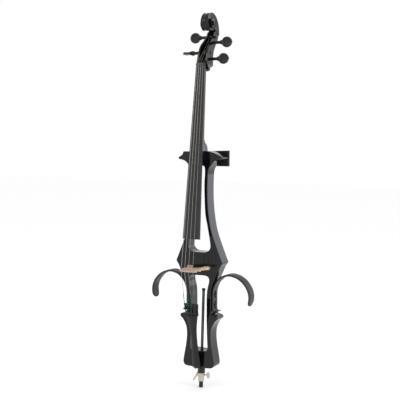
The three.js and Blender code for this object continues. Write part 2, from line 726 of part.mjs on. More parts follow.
// Scroll: a spiral that narrows and steps out towards its eye, with a fluted rim
function voluteSolid() {
  const perTurn = Math.round(360 / volute.stepAngle);
  const last = volute.steps;
  const inner = last - perTurn;
  const span = last * volute.stepAngle;
  const swell = volute.swellShare * headHeight;
  const turnRadius = volute.turnRadiusShare * headHeight;
  const eyeEdge = volute.eyeEdgeShare * headHeight;
  const buttonRadius = volute.eyeButtonShare * headHeight;
  const topHalf = volute.topHalfShare * pegboxHalfWidth;
  const rootHalf = volute.rootHalfShare * pegboxHalfWidth;
  const eyeHalf = volute.eyeHalfShare * pegboxHalfWidth;
  const places = [];
  const faces = [];
  const angleOf = (i) => (volute.startAngle + i * volute.stepAngle) * degree;
  const radiusOf = (i) => {
    const turn = i * volute.stepAngle;
    const shrink = (turnRadius - eyeEdge) * (turn / span);
    return swell * Math.exp(-turn / volute.swellFallAngle) + turnRadius - shrink;
  };
  const halfOf = (i) => {
    const turn = i * volute.stepAngle;
    if (turn < volute.topAngle) {
      const fall = (1 - turn / volute.topAngle) ** 2;
      return topHalf + (rootHalf - topHalf) * fall;
    }
    const rise = Math.sin((90 * degree * (turn - volute.topAngle)) / (span - volute.topAngle));
    return topHalf + (eyeHalf - topHalf) * rise;
  };
  const point = (x, radius, i) => {
    const angle = angleOf(i);
    places.push(x, radius * Math.cos(angle), radius * Math.sin(angle));
    return places.length / 3 - 1;
  };
  const polygon = (corners, flip) => {
    for (let k = 1; k + 1 < corners.length; k++) {
      const face = [corners[0], corners[k], corners[k + 1]];
      if (flip) face.reverse();
      faces.push(...face);
    }
  };

  // Rim: centre line and two flutes over the first turn
  const centre = [];
  for (let i = 0; i <= perTurn; i++) centre.push(point(0, radiusOf(i), i));
  const sides = [1, -1].map((hand) => {
    const rim = [];
    for (let i = 0; i <= last; i++) rim.push(point(hand * halfOf(i), radiusOf(i), i));
    const foot = [];
    for (let i = 0; i <= inner; i++) {
      foot.push(point(hand * (halfOf(i) - volute.scoop), radiusOf(i + perTurn), i));
    }
    const ledge = [];
    for (let i = inner; i <= last; i++) {
      ledge.push(point(hand * (halfOf(i) - volute.scoop), buttonRadius, i));
    }
    const button = [];
    for (let i = inner; i < last; i++) {
      button.push(point(hand * eyeHalf, buttonRadius, i));
    }
    const flute = [];
    for (let i = 0; i < perTurn; i++) {
      const share = i / perTurn;
      const from = halfOf(i) / 2;
      const place = from + (halfOf(0) - volute.scoop - from) * share;
      const depth = volute.flute * Math.sin(Math.PI * share);
      flute.push(point(hand * place, radiusOf(i) - depth, i));
    }
    flute.push(foot[0]);
    return { hand, rim, foot, ledge, button, flute };
  });
  sides.forEach(({ hand, rim, foot, ledge, button, flute }) => {
    const flip = hand < 0;
    for (let i = 0; i < inner; i++) {
      polygon([rim[i], rim[i + 1], foot[i + 1], foot[i]], flip);
      polygon([foot[i], foot[i + 1], rim[i + perTurn + 1], rim[i + perTurn]], flip);
    }
    const turns = last - inner;
    const ring = (k) => button[k % turns];
    polygon([rim[inner], rim[inner + 1], foot[inner]], flip);
    polygon([foot[inner], rim[inner + 1], ledge[1]], flip);
    polygon([foot[inner], ledge[1], ledge[0]], flip);
    polygon([ledge[0], ledge[1], ledge[turns]], flip);
    polygon([ledge[turns], ledge[1], ring(1)], flip);
    polygon([ledge[turns], ring(1), ring(0)], flip);
    for (let k = 1; k < turns; k++) {
      polygon([rim[inner + k], rim[inner + k + 1], ledge[k + 1], ledge[k]], flip);
      polygon([ledge[k], ledge[k + 1], ring(k + 1), ring(k)], flip);
    }
    polygon([foot[inner], ledge[0], ledge[turns], rim[last]], flip);
    polygon(button, flip);
    for (let i = 0; i < perTurn; i++) {
      polygon([rim[i], flute[i], flute[i + 1], rim[i + 1]], flip);
      polygon([flute[i], centre[i], centre[i + 1], flute[i + 1]], flip);
    }
    polygon([rim[0], foot[0], flute[0]], flip);
    polygon([flute[0], foot[0], centre[perTurn]], flip);
    polygon([flute[0], centre[perTurn], centre[0]], flip);
  });
  const geometry = new THREE.BufferGeometry();
  geometry.setAttribute("position", new THREE.Float32BufferAttribute(places, 3));
  geometry.setIndex(faces);
  return solid(geometry.translate(0, frontY + eyeBack, nutZ + eyeHeight));
}

// Head profile: shares of the eye's setback and of the head's height above the nut
function headShape(shares) {
  const points = shares.map(([y, z]) => [frontY + y * eyeBack, nutZ + z * headHeight]);
  return smoothShape(points, 2);
}

function taperPlan(inset, low) {
  const all = headTaperShares.map(([x, z]) => [x * pegboxHalfWidth - inset, nutZ + z * headHeight]);
  const right = all.filter(([, z]) => z > low);
  const shape = new THREE.Shape();
  shape.moveTo(right[0][0], low);
  right.forEach(([x, z]) => shape.lineTo(x, z));
  right.reverse().forEach(([x, z]) => shape.lineTo(-x, z));
  shape.lineTo(-right.at(-1)[0], low);
  return shape;
}

// Neck: round-backed sections down the fingerboard, swelling into the heel, with the head on top
function neckSection(z, stock) {
  const down = (nutZ - z) / Math.cos(boardTilt);
  const widen = (boardEndHalfWidth - nutHalfWidth) * (Math.max(down, 0) / fingerboardLength);
  const half = nutHalfWidth + widen - neckSideInset;
  const glue = frontY + nutSetback - (nutZ - z) * Math.tan(boardTilt)
    + (boardEdge + seatGap) / Math.cos(boardTilt);
  const points = [];
  const count = 14;
  for (let k = 0; k <= count; k++) {
    const turn = (k / count) * Math.PI;
    const deep = stock * Math.sin(turn) ** 0.8;
    points.push(new THREE.Vector3(half * Math.cos(turn), glue + deep, z));
  }
  return points;
}

function neckLoft() {
  const top = nutZ + nutThickness;
  const shoulder = bodyTop + seatGap;
  const glueAt = (z) => nutSetback - (nutZ - z) * Math.tan(boardTilt) + boardEdge + seatGap;
  const stations = [
    [top, neckStock],
    [nutZ - heelRise, neckStock],
    [(nutZ + shoulder) / 2, neckStock + neckSwell / 2],
    [shoulder + heelShares.start * heelRise, neckStock + neckSwell],
  ];
  const domeSteps = 5;
  for (let k = 1; k <= domeSteps; k++) {
    const turn = (k / domeSteps) * 90 * degree;
    const z = shoulder + heelRise * (heelShares.foot + heelShares.dome * Math.cos(turn));
    const reach = neckStock + neckSwell + glueAt(z);
    const back = reach + (heelDepth - reach) * Math.sin(turn) ** 0.8;
    stations.push([z, back - glueAt(z)]);
  }
  stations.push([shoulder, heelDepth - glueAt(shoulder)]);
  stations.push([bodyTop - neckRootLap, heelDepth - glueAt(bodyTop - neckRootLap)]);
  return solid(loft(stations.map(([z, stock]) => neckSection(z, stock))));
}

function makeNeck() {
  const wide = 2 * bodyHalfWidth;
  const clear = box(-wide, wide, frontY - seatGap, wide, 0, bodyTop + seatGap);
  const neck = neckLoft().subtract(solid(clear));
  const profile = headShape(headProfileShares.front.concat(headProfileShares.back));
  const reach = pegboxHalfWidth + cutOverrun;
  const plan = taperPlan(0, nutZ + headTaperShares[0][1] * headHeight - cutOverrun);
  let head = solid(slabAlongX(profile, -reach, reach));
  head = head.intersect(solid(slabAlongY(plan, frontY - wide, frontY + 2 * wide)));
  head = head.add(voluteSolid());
  const low = nutZ + nutThickness + troughFrontShare * eyeBack;
  const open = [troughProfileShares.at(-1), troughProfileShares[0]].map(([, z]) => [troughMouthShare, z]);
  const outline = troughProfileShares.concat(open);
  const corners = outline.map(([y, z]) => new THREE.Vector2(
    frontY + y * eyeBack,
    Math.max(nutZ + z * headHeight, low),
  ));
  const trough = solid(slabAlongX(new THREE.Shape(corners), -reach, reach));
  const hollow = solid(slabAlongY(taperPlan(cheekWall, low), frontY - wide, frontY + 2 * wide));
  head = head.subtract(trough.intersect(hollow));
  let whole = neck.add(head);
  pegs.forEach((peg) => {
    const hole = rod(pegShaftRadius + runningGap, -wide, wide, axisX, 16);
    whole = whole.subtract(solid(hole.translate(0, pegY(peg), pegZ(peg))));
  });
  add("neck", whole, gloss);
}

// Fingerboard and nut share one arched section
function boardSection(half, z, rise, edge, hollow) {
  const points = [];
  const arcCount = 8;
  for (let k = 0; k <= arcCount; k++) {
    const x = half * (1 - (2 * k) / arcCount);
    points.push(new THREE.Vector3(x, boardCrownAt(x, half) - rise, z));
  }
  const floorCount = 4;
  for (let k = 0; k <= floorCount; k++) {
    const share = (2 * k) / floorCount - 1;
    points.push(new THREE.Vector3(share * half, edge - hollow * (1 - share * share), z));
  }
  return points;
}

function makeFingerboard() {
  const rootDown = (nutZ - bodyTop + neckRootLap) / Math.cos(boardTilt);
  const stations = [
    [0, 0],
    [rootDown / 2, 0],
    [rootDown + boardHollowMargin / 2, 0],
    [rootDown + boardHollowMargin, boardHollow],
    [(rootDown + fingerboardLength) / 2, boardHollow],
    [fingerboardLength, boardHollow],
  ];
  const rings = stations.map(([down, hollow]) => {
    const half = nutHalfWidth + (boardEndHalfWidth - nutHalfWidth) * (down / fingerboardLength);
    return boardSection(half, -down, 0, boardEdge, hollow);
  });
  add("fingerboard", solid(loft(rings)), ebony, neckFrame);
}

function makeNut() {
  const rings = [nutThickness, seatGap].map((z) => boardSection(nutHalfWidth, z, nutRise, boardEdge, 0));
  let nut = solid(loft(rings));
  stringCutters(neckFrame).forEach((cut) => {
    nut = nut.subtract(cut);
  });
  add("nut", nut, ebony, neckFrame);
}

// Bridge: arched top, heart, side kidneys and two feet, thinner at the top
function makeBridge() {
  const outline = mirroredOutline(bridgeSideShares, bridgeFootHalf, -bridgeHeight, 2);
  const shape = new THREE.Shape(outline);
  const heart = mirroredOutline(bridgeHeartShares, bridgeFootHalf, -bridgeHeight, 2);
  shape.holes.push(new THREE.Path(heart));
  const half = bridgeFootThickness / 2;
  const plate = solid(slab(shape, bridgeFootThickness).translate(0, 0, -half));
  const side = new THREE.Shape();
  side.moveTo(0, half);
  side.lineTo(-bridgeHeight, bridgeTopThickness / 2);
  side.lineTo(-bridgeHeight - cutOverrun, bridgeTopThickness / 2);
  side.lineTo(-bridgeHeight - cutOverrun, -bridgeTopThickness / 2);
  side.lineTo(-bridgeHeight, -bridgeTopThickness / 2);
  side.lineTo(0, -half);
  const reach = bridgeFootHalf + cutOverrun;
  let bridge = plate.intersect(solid(slabAlongX(side, -reach, reach)));
  stringCutters(bridgeFrame).forEach((cut) => {
    bridge = bridge.subtract(cut);
  });
  add("bridge", bridge, maple, bridgeFrame);
}

// Pegs: tapered shaft, collar and a round dished head that lies in line with the shaft
function makePegs() {
  pegs.forEach((peg) => {
    const cheek = pegboxHalfWidth;
    const headX = cheek * pegCheekShare + pegReach;
    const neckX = headX - pegHeadRadius;
    const profile = [
      [0, -cheek],
      [pegTipRadius, -cheek],
      [pegShaftRadius, 0],
      [pegShaftRadius, neckX - pegCollarLength],
      [pegCollarRadius, neckX - pegCollarLength / 2],
      [pegTipRadius, neckX + pegCollarLength],
      [0, neckX + pegCollarLength],
    ];
    const shaft = solid(turned(profile, axisX, 12));
    const rim = pegHeadThickness / 2;
    const disc = turned(
      [
        [0, -rim + pegHeadDish],
        [pegHeadRadius * 0.62, -rim + pegHeadDish / 2],
        [pegHeadRadius * 0.85, -rim],
        [pegHeadRadius, -rim * pegRimShare],
        [pegHeadRadius, rim * pegRimShare],
        [pegHeadRadius * 0.85, rim],
        [pegHeadRadius * 0.62, rim - pegHeadDish / 2],
        [0, rim - pegHeadDish],
      ],
      axisY,
      16,
    ).translate(headX, 0, 0);
    const whole = shaft.add(solid(disc));
    const frame = makeFrame(0, pegY(peg), pegZ(peg), 0);
    frame.rotation.set(peg.faceTurn * degree, 0, peg.side < 0 ? 180 * degree : 0);
    add("peg_" + peg.string, whole, ebony, frame);
  });
}

// Tailpiece: arched top, waisted outline, slots for the tuner levers
function tailHalfAt(share) {
  const found = tailSideShares.findIndex(([, z]) => z >= share);
  const [x1, z1] = tailSideShares[Math.max(found, 1)];
  const [x0, z0] = tailSideShares[Math.max(found, 1) - 1];
  return tailHalfWidth * (x0 + ((x1 - x0) * (share - z0)) / (z1 - z0));
}

function makeTailpiece() {
  const rings = tailSideShares.map(([, share]) => {
    const half = tailHalfAt(share);
    const crown = tailCrown * Math.min(1, tailCrownShares.least + tailCrownShares.rise * (half / tailHalfWidth));
    const points = [];
    const arcCount = 8;
    for (let k = 0; k <= arcCount; k++) {
      const across = 1 - (2 * k) / arcCount;
      points.push(new THREE.Vector3(across * half, -crown * (1 - across * across), share * tailLength));
    }
    points.push(new THREE.Vector3(-half * 0.9, tailEdge, share * tailLength));
    points.push(new THREE.Vector3(half * 0.9, tailEdge, share * tailLength));
    return points;
  });
  let tail = solid(loft(rings));
  Object.values(stringShares).forEach((share) => {
    const x = share * tailSpread;
    const slot = box(
      x - tuner.slotHalf,
      x + tuner.slotHalf,
      -tailCrown - cutOverrun,
      tailEdge + cutOverrun,
      tuner.place - tuner.slotLength / 2,
      tuner.place + tuner.slotLength / 2,
    );
    tail = tail.subtract(solid(slot));
    const hole = rod(tuner.screwRadius + runningGap, -tailCrown - cutOverrun, tailEdge + cutOverrun, axisY, 12);
    tail = tail.subtract(solid(hole.translate(x, 0, tuner.place - tuner.screwBack)));
  });
  const cordReach = tailCordSpread + tailCordRadius + seatGap;
  const grooveFloor = tailEdge - 2 * tailCordRadius - 2 * seatGap;
  const groove = box(-cordReach, cordReach, grooveFloor, tailEdge + cutOverrun, -cutOverrun, tailGrooveLength);
  tail = tail.subtract(solid(groove));
  add("tailpiece", tail, ebony, tailFrame);
}

// Tuner levers rock in the tailpiece's slots, pushed by their screws
function makeTuners() {
  const topY = -tailCrown - tuner.hookRise;
  const armTop = tailEdge + seatGap;
  const armEnd = tuner.place - tuner.armLength;
  const hookHigh = tuner.place + tuner.slotLength / 2 - runningGap;
  Object.entries(stringShares).forEach(([name, share]) => {
    const x = share * tailSpread;
    const side = new THREE.Shape();
    side.moveTo(armTop, armEnd);
    side.lineTo(armTop + tuner.armThickness, armEnd);
    side.lineTo(armTop + tuner.armThickness, hookHigh);
    side.lineTo(topY, hookHigh);
    side.lineTo(topY, hookHigh - tuner.hookThickness);
    side.lineTo(armTop, hookHigh - tuner.hookFoot);
    const half = tuner.armWidth / 2;
    let arm = solid(slabAlongX(side, x - half, x + half));
    const fork = box(
      x - tuner.hookSlotHalf,
      x + tuner.hookSlotHalf,
      topY - cutOverrun,
      -tailCrown + tuner.hookRise * tuner.hookForkShare,
      hookHigh - 2 * tuner.hookThickness,
      hookHigh + cutOverrun,
    );
    arm = arm.subtract(solid(fork));
    add("tuner_lever_" + name, arm, steel, tailFrame);

    const tip = armTop - runningGap;
    const headLow = -tailCrown - tuner.screwNeckLength;
    const screw = turned(
      [
        [0, headLow - tuner.screwHeadLength],
        [tuner.screwHeadRadius * 0.8, headLow - tuner.screwHeadLength],
        [tuner.screwHeadRadius, headLow - tuner.screwHeadLength * 0.8],
        [tuner.screwHeadRadius, headLow - tuner.screwHeadLength * 0.2],
        [tuner.screwHeadRadius * 0.7, headLow],
        [tuner.screwRadius, headLow],
        [tuner.screwRadius, tip],
        [0, tip],
      ],
      axisY,
      12,
    );
    add("tuner_screw_" + name, solid(screw.translate(x, 0, tuner.place - tuner.screwBack)), steel, tailFrame);
  });
}

// Tail cord: from the tailpiece over the saddle and round the endpin plug
function makeTailCord() {
  const gapY = tailEdge - tailCordRadius;
  const start = tailFrame.localToWorld(new THREE.Vector3(0, gapY, tailCordLap));
  const leave = tailFrame.localToWorld(new THREE.Vector3(0, gapY, -tailCordLead));
  const low = bodyBottom - tailCordRadius - runningGap;
  const plugY = Math.tan(endpinLean * degree) * low;
  const around = plugNeckRadius + tailCordRadius + runningGap;
  const points = [
    new THREE.Vector3(-tailCordSpread, start.y, start.z),
    new THREE.Vector3(-tailCordSpread, leave.y, leave.z),
    new THREE.Vector3(-tailCordSpread, frontY - tailCordRadius, low - tailCordRadius),
    new THREE.Vector3(-tailCordSpread - tailCordRadius, frontY + 2 * tailCordRadius, low - tailCordRadius),
  ];
  const turns = 10;
  for (let k = 0; k <= turns; k++) {
    const turn = (190 + (k / turns) * -200) * degree;
    points.push(new THREE.Vector3(
      Math.cos(turn) * around,
      plugY + Math.sin(turn) * around,
      low - tailCordRadius,
    ));
  }
  points.slice(0, 4).reverse().forEach((p) => points.push(new THREE.Vector3(-p.x, p.y, p.z)));
  add("tail_cord", solid(cordAlong(points, tailCordRadius, 8)), satin);
}

function makeSaddle() {
  const round = saddleRise / 2;
  const side = new THREE.Shape();
  side.moveTo(frontY - seatGap, bodyBottom + bodyEdgeRound);
  side.lineTo(frontY - saddleRise, bodyBottom + bodyEdgeRound + round);
  side.lineTo(frontY - saddleRise, bodyBottom + saddleHeight);
  side.lineTo(frontY - seatGap, bodyBottom + saddleHeight + round);
  add("saddle", solid(slabAlongX(side, -saddleWidth / 2, saddleWidth / 2)), ebony);
}

// Endpin: plug and collar stay with the body, the rod slides through them
function makeEndpin() {
  const bottom = bodyBottom / Math.cos(endpinLean * degree);
  const bore = rodRadius + runningGap;
  const cordRoom = 2 * tailCordRadius + 3 * runningGap;
  const plugLow = collarTop + seatGap;
  const plug = turned([
    [bore, plugLow],
    [plugRadius, plugLow],
    [plugRadius, bottom - cordRoom - seatGap - 1.4 * tailCordRadius],
    [plugNeckRadius, bottom - cordRoom - seatGap - 0.7 * tailCordRadius],
    [plugNeckRadius, bottom - seatGap],
    [plugNeckRadius, bottom + seatGap],
    [plugConeRadius - seatGap, bottom + 2 * seatGap],
    [plugNeckRadius - seatGap, bottom + plugConeLength],
    [bore, bottom + plugConeLength],
    [bore, plugLow],
  ], axisZ, 20);
  add("endpin_plug", solid(plug), satin, endpinFrame);

  let collar = solid(turned([
    [bore, collarFoot],
    [collarNeckRadius - seatGap, collarFoot],
    [collarNeckRadius, collarFoot + seatGap],
    [collarNeckRadius, collarNeckTop],
    [collarRadius, collarNeckTop + seatGap],
    [collarRadius, collarTop - 2 * seatGap],
    [collarRadius - 2 * seatGap, collarTop],
    [bore, collarTop],
    [bore, collarFoot],
  ], axisZ, 20));
  const wingBore = rod(wing.shaftRadius + seatGap, 0, plugRadius + cutOverrun, axisX, 12);
  collar = collar.subtract(solid(wingBore.translate(0, 0, wing.height)));
  const leverBore = rod(lever.shaftRadius + seatGap, 0, plugRadius + cutOverrun, axisX, 12);
  collar = collar.subtract(solid(leverBore.rotateZ(180 * degree).translate(0, 0, lever.height)));
  add("endpin_collar", collar, nickel, endpinFrame);

  const spikeTop = footSpikeDepth + spikeLength;
  add("endpin_rod", solid(rod(rodRadius, spikeTop + seatGap, rodTop - rodCapLength, axisZ, 20)), steel, endpinFrame);
  const spike = turned([
    [0, footSpikeDepth],
    [spikeRadius, footSpikeDepth + 1.5 * spikeRadius],
    [spikeRadius, spikeTop],
    [0, spikeTop],
  ], axisZ, 16);
  add("endpin_spike", solid(spike), steel, endpinFrame);
  const cap = rod(rodRadius + rodCapWall, rodTop - rodCapLength + seatGap, rodTop, axisZ, 20);
  add("endpin_cap", solid(cap), satin, endpinFrame);

  const foot = turned([
    [0, -cutOverrun],
    [footRadius * 0.86, -cutOverrun],
    [footRadius * 0.86, footHeight * 0.05],
    [footRadius, footHeight * 0.12],
    [footRadius, footHeight * 0.9],
    [footRadius * 0.94, footHeight],
    [rodRadius + seatGap, footHeight],
    [rodRadius + seatGap, spikeTop - seatGap],
    [spikeRadius + seatGap, spikeTop - 2 * seatGap],
    [spikeRadius + seatGap, footSpikeDepth + 1.4 * spikeRadius],
    [0, footSpikeDepth - 2 * seatGap],
  ], axisZ, 16);
  const floorReach = footRadius + cutOverrun;
  const floor = solid(box(-floorReach, floorReach, -floorReach, floorReach, -2 * cutOverrun, 0));
  const tilted = solid(foot.applyMatrix4(endpinFrame.matrixWorld));
  add("rubber_foot", tilted.subtract(floor), rubber);

  const headStart = collarRadius + wing.shaftLength;
  const oval = new THREE.Shape();
  oval.absellipse(headStart + wing.halfWide, 0, wing.halfWide, wing.halfTall, 0, 2 * Math.PI, false, 0);
  const grip = solid(slabAlongY(oval, -wing.thickness / 2, wing.thickness / 2));
  const stem = solid(rod(wing.shaftRadius, bore + runningGap, headStart + wing.halfWide, axisX, 12));
  const wingFrame = new THREE.Group();
  wingFrame.position.set(0, 0, wing.height);
  endpinFrame.add(wingFrame);
  add("collar_wing_screw", stem.add(grip), nickel, wingFrame);

  const root = collarRadius + runningGap + lever.thickness;
  const blade = new THREE.Shape();
  blade.moveTo(-collarRadius - runningGap, lever.width / 2);
  blade.lineTo(-root, lever.width / 2);
  blade.lineTo(-root - lever.reach, -lever.drop);
  blade.lineTo(-root - lever.reach + lever.thickness, -lever.drop - lever.thickness);
  blade.lineTo(-collarRadius - runningGap, -lever.width / 2);
  const flat = solid(slabAlongY(blade, -lever.width / 2, lever.width / 2));
  const pinShape = rod(lever.shaftRadius, bore + runningGap, root, axisX, 12).rotateZ(180 * degree);
  const leverFrame = new THREE.Group();
  leverFrame.position.set(0, 0, lever.height);
  endpinFrame.add(leverFrame);
  add("collar_lever", solid(pinShape).add(flat), nickel, leverFrame);
}

// Knee rests: a strap bent along a path, with slots for its two screws
function kneeCurve() {
  const points = kneePathShares.map(([x, z]) => new THREE.Vector3(x * kneeReach, z * kneeRise, 0));
  return new THREE.CatmullRomCurve3(points, false, "centripetal");
}

function stripShape(curve, from, to, steps, inner, outer) {
  const high = [];
  const low = [];
  for (let k = 0; k <= steps; k++) {
    const t = from + ((to - from) * k) / steps;
    const p = curve.getPoint(t);
    const tangent = curve.getTangent(t);
    const normal = new THREE.Vector2(-tangent.y, tangent.x);
    const wave = outer.rib * (k % 2);
    high.push(new THREE.Vector2(p.x + normal.x * (outer.reach + wave), p.y + normal.y * (outer.reach + wave)));
    low.push(new THREE.Vector2(p.x - normal.x * (inner.reach + wave), p.y - normal.y * (inner.reach + wave)));
  }
  return new THREE.Shape(high.concat(low.reverse()));
}

function makeKneeRests() {
  const curve = kneeCurve();
  const count = (kneePathShares.length - 1) * kneeSteps;
  const half = { reach: kneeThickness / 2, rib: 0 };
  const strapShape = stripShape(curve, 0, 1, count, half, half);
  const room = { reach: kneeThickness / 2 + seatGap, rib: 0 };
  const roomShape = stripShape(curve, 0, 1, count, room, room);
  const skin = { reach: kneeThickness / 2 + seatGap + sleeveWall, rib: sleeveRib };
  const sleeveShape = stripShape(
    curve, sleeveStartShare, sleeveEndShare, 2 * sleeveRibCount, skin, skin,
  );
  const footZ = heightAt(kneeFootShare);
  [["left", -1], ["right", 1]].forEach(([name, side]) => {
    const mirror = (geometry) => {
      const moved = geometry.translate(kneeRootX, 0, footZ);
      return solid(side < 0 ? moved.scale(-1, 1, 1) : moved);
    };
    let strap = mirror(slabAlongY(strapShape, kneeY, kneeY + kneeDepth));
    kneeScrewPlaces().forEach((z, index) => {
      const radius = kneeScrew.shaftRadius + runningGap;
      const slot = new THREE.Shape();
      slot.absarc(kneeMiddleY, z + kneeSlotHalf - radius, radius, 0, 180 * degree);
      slot.absarc(kneeMiddleY, z - kneeSlotHalf + radius, radius, 180 * degree, 360 * degree);
      const reach = kneeRootX + cutOverrun;
      const near = Math.min(side * reach, side * (kneeRootX - cutOverrun));
      strap = strap.subtract(solid(slabAlongX(slot, near, near + 2 * cutOverrun)));
      const head = kneeRootX + kneeThickness / 2 + runningGap;
      const screw = turned([
        [0, kneeRootX - kneeScrewDepth + seatGap],
        [kneeScrew.shaftRadius, kneeRootX - kneeScrewDepth + seatGap],
        [kneeScrew.shaftRadius, head],
        [kneeScrew.headRadius, head],
        [kneeScrew.headRadius * 0.92, head + kneeScrew.headHeight * 0.6],
        [kneeScrew.headRadius * 0.6, head + kneeScrew.headHeight],
        [0, head + kneeScrew.headHeight],
      ], axisX, 12);
      if (side < 0) screw.rotateZ(180 * degree);
      const level = index ? "upper" : "lower";
      add("knee_screw_" + level + "_" + name, solid(screw.translate(0, kneeMiddleY, z)), satin);
    });
    add("knee_rest_" + name, strap, satin);
    const wall = seatGap + sleeveWall;
    const outside = mirror(slabAlongY(sleeveShape, kneeY - wall, kneeY + kneeDepth + wall));
    const inside = mirror(slabAlongY(roomShape, kneeY - seatGap, kneeY + kneeDepth + seatGap));
    add("knee_sleeve_" + name, outside.subtract(inside), rubber);
  });
}

// Chest rest: two rods slide in the shoulder, carrying a plate and a pad
function makeChestRest() {
  const low = chestZ - chestHeight / 2;
  const high = chestZ + chestHeight / 2;
  const plateY = backY + chestStandOff;
  const plateBack = plateY + chestPlateThickness;
  const plateShape = rounded(-chestHalfWidth, chestHalfWidth, low, high, chestCorner);
  add("chest_plate", solid(slabAlongY(plateShape, plateY, plateBack, chestBevel, 1)), satin);
  const padShape = rounded(
    -chestHalfWidth + chestPadInset,
    chestHalfWidth - chestPadInset,
    low + chestPadInset,
    high - chestPadInset,
    chestCorner,
  );
  const pad = slabAlongY(padShape, plateBack + seatGap, plateBack + seatGap + chestPadThickness, chestPadBevel, 1);
  add("chest_pad", solid(pad), rubber);
  [["left", -1], ["right", 1]].forEach(([name, side]) => {
    const bar = rod(chestRodRadius, backY - chestRodDepth, plateY - seatGap, axisY, 16);
    add("chest_rod_" + name, solid(bar.translate(side * chestRodSpread, 0, chestZ)), steel);
  });
}

// Electronics: pickups under the bridge, a bay behind it with its cover and controls
const knobPlaces = [["volume", -1], ["tone", 1]];
const knobZ = panelZ + knobRowRise;
const jackZ = panelZ - jackRowDrop;
const coverFrontY = backY - coverWall;
const jackX = bayCentreX + bayWidth / 2 - 3 * jackNutRadius;
const phonesX = bayCentreX;
const switchX = bayLeft + 2.5 * switchWidth / 2;

function makePickups() {
  [["left", -1], ["right", 1]].forEach(([name, side]) => {
    const strip = box(
      side * pickupX - pickupWidth / 2,
      side * pickupX + pickupWidth / 2,
      frontY,
      frontY + pickupThickness,
      bridgeZ - pickupHeight / 2,
      bridgeZ + pickupHeight / 2,
    );
    add("pickup_" + name, solid(strip), nickel);
  });
  const end = bayFloorY + boardStandOff - seatGap;
  const lead = cordAlong(
    [
      new THREE.Vector3(pickupX, frontY + pickupThickness + seatGap, bridgeZ),
      new THREE.Vector3(pickupX, (frontY + end) / 2, bridgeZ),
      new THREE.Vector3(pickupX, end, bridgeZ),
    ],
    pickupLeadRadius,
    8,
  );
  add("pickup_lead", solid(lead), satin);
}

function makePanel() {
  const shape = rounded(
    bayLeft - coverLip, bayRight + coverLip, bayLow - coverLip, bayHigh + coverLip, coverLip,
  );
  let cover = solid(slabAlongY(shape, coverFrontY, backY, coverBevel, 1));
  const through = (radius, x, z) => {
    const hole = rod(radius, -cutOverrun - coverWall, cutOverrun, axisY, 12);
    cover = cover.subtract(solid(hole.translate(x, backY, z)));
  };
  knobPlaces.forEach(([, side]) => through(potShaftRadius + runningGap, bayCentreX + side * knobSpread, knobZ));
  through(jackRadius + seatGap, jackX, jackZ);
  through(phonesRadius + seatGap, phonesX, jackZ);
  const travel = (switchWidth - switchKnob) / 2;
  const slotHalf = travel + switchKnob / 2 + runningGap;
  const slotTall = switchKnob / 2 + runningGap;
  const slot = box(
    switchX - slotHalf, switchX + slotHalf, coverFrontY - cutOverrun, backY + cutOverrun,
    jackZ - slotTall, jackZ + slotTall,
  );
  add("control_cover", cover.subtract(solid(slot)), satin);

  knobPlaces.forEach(([name, side]) => {
    const x = bayCentreX + side * knobSpread;
    const inside = coverFrontY - seatGap;
    const pot = turned([
      [0, inside - potBodyLength],
      [potRadius, inside - potBodyLength],
      [potRadius, inside],
      [0, inside],
    ], axisY, 16).translate(x, 0, knobZ);
    add(name + "_pot", solid(pot), nickel);
    const shaftEnd = backY + potShaftLength;
    const knobLow = backY + 2 * seatGap;
    let knob = solid(turned([
      [0, knobLow],
      [knobRadius, knobLow],
      [knobRadius, knobLow + knobHeight * 0.8],
      [knobRadius * 0.85, knobLow + knobHeight],
      [0, knobLow + knobHeight],
    ], axisY, 20));
    knob = knob.add(solid(rod(potShaftRadius, inside + seatGap, shaftEnd, axisY, 16)));
    const mark = box(
      -seatGap, seatGap, knobLow + knobHeight * 0.5, knobLow + knobHeight + cutOverrun,
      knobRadius * 0.4, knobRadius + cutOverrun,
    );
    const frame = makeFrame(x, 0, knobZ, 0);
    add(name + "_knob", knob.subtract(solid(mark)), satin, frame);
  });

  const socket = (name, x, radius, bore, length, nutRadius, nutThick) => {
    const shell = turned([
      [bore, backY - length * 0.8],
      [radius, backY - length * 0.8],
      [radius, backY + seatGap],
      [nutRadius, backY + seatGap],
      [nutRadius, backY + seatGap + nutThick],
      [bore, backY + seatGap + nutThick],
      [bore, backY - length * 0.8],
    ], axisY, 14);
    const core = rod(radius, backY - length, backY - length * 0.75, axisY, 14);
    const whole = solid(shell).add(solid(core));
    add(name, whole, nickel, makeFrame(x, 0, jackZ, 0));
  };
  socket("output_jack", jackX, jackRadius, jackBore, jackLength, jackNutRadius, jackNutThickness);
  socket("headphone_jack", phonesX, phonesRadius, phonesBore, phonesLength, phonesNutRadius, phonesNutThickness);

  const bodyTopY = coverFrontY - seatGap;
  const block = box(
    switchX - switchWidth / 2, switchX + switchWidth / 2,
    bodyTopY - switchDepth, bodyTopY - switchDepth / 4,
    jackZ - switchHeight / 2, jackZ + switchHeight / 2,
  );
  add("switch_body", solid(block), satin);
  const slider = box(
    switchX - travel - switchKnob / 2, switchX - travel + switchKnob / 2,
    bodyTopY - switchDepth / 4 + seatGap, backY + switchKnobRise,
    jackZ - switchKnob / 2, jackZ + switchKnob / 2,
  );
  add("power_switch", solid(slider), satin);

  const boardY = bayFloorY + boardStandOff;
  const plate = box(
    bayCentreX - boardWidth / 2, bayCentreX + boardWidth / 2,
    boardY, boardY + boardThickness,
    panelZ - boardHeight / 2, panelZ + boardHeight / 2,
  );
  add("preamp_board", solid(plate), board);
}

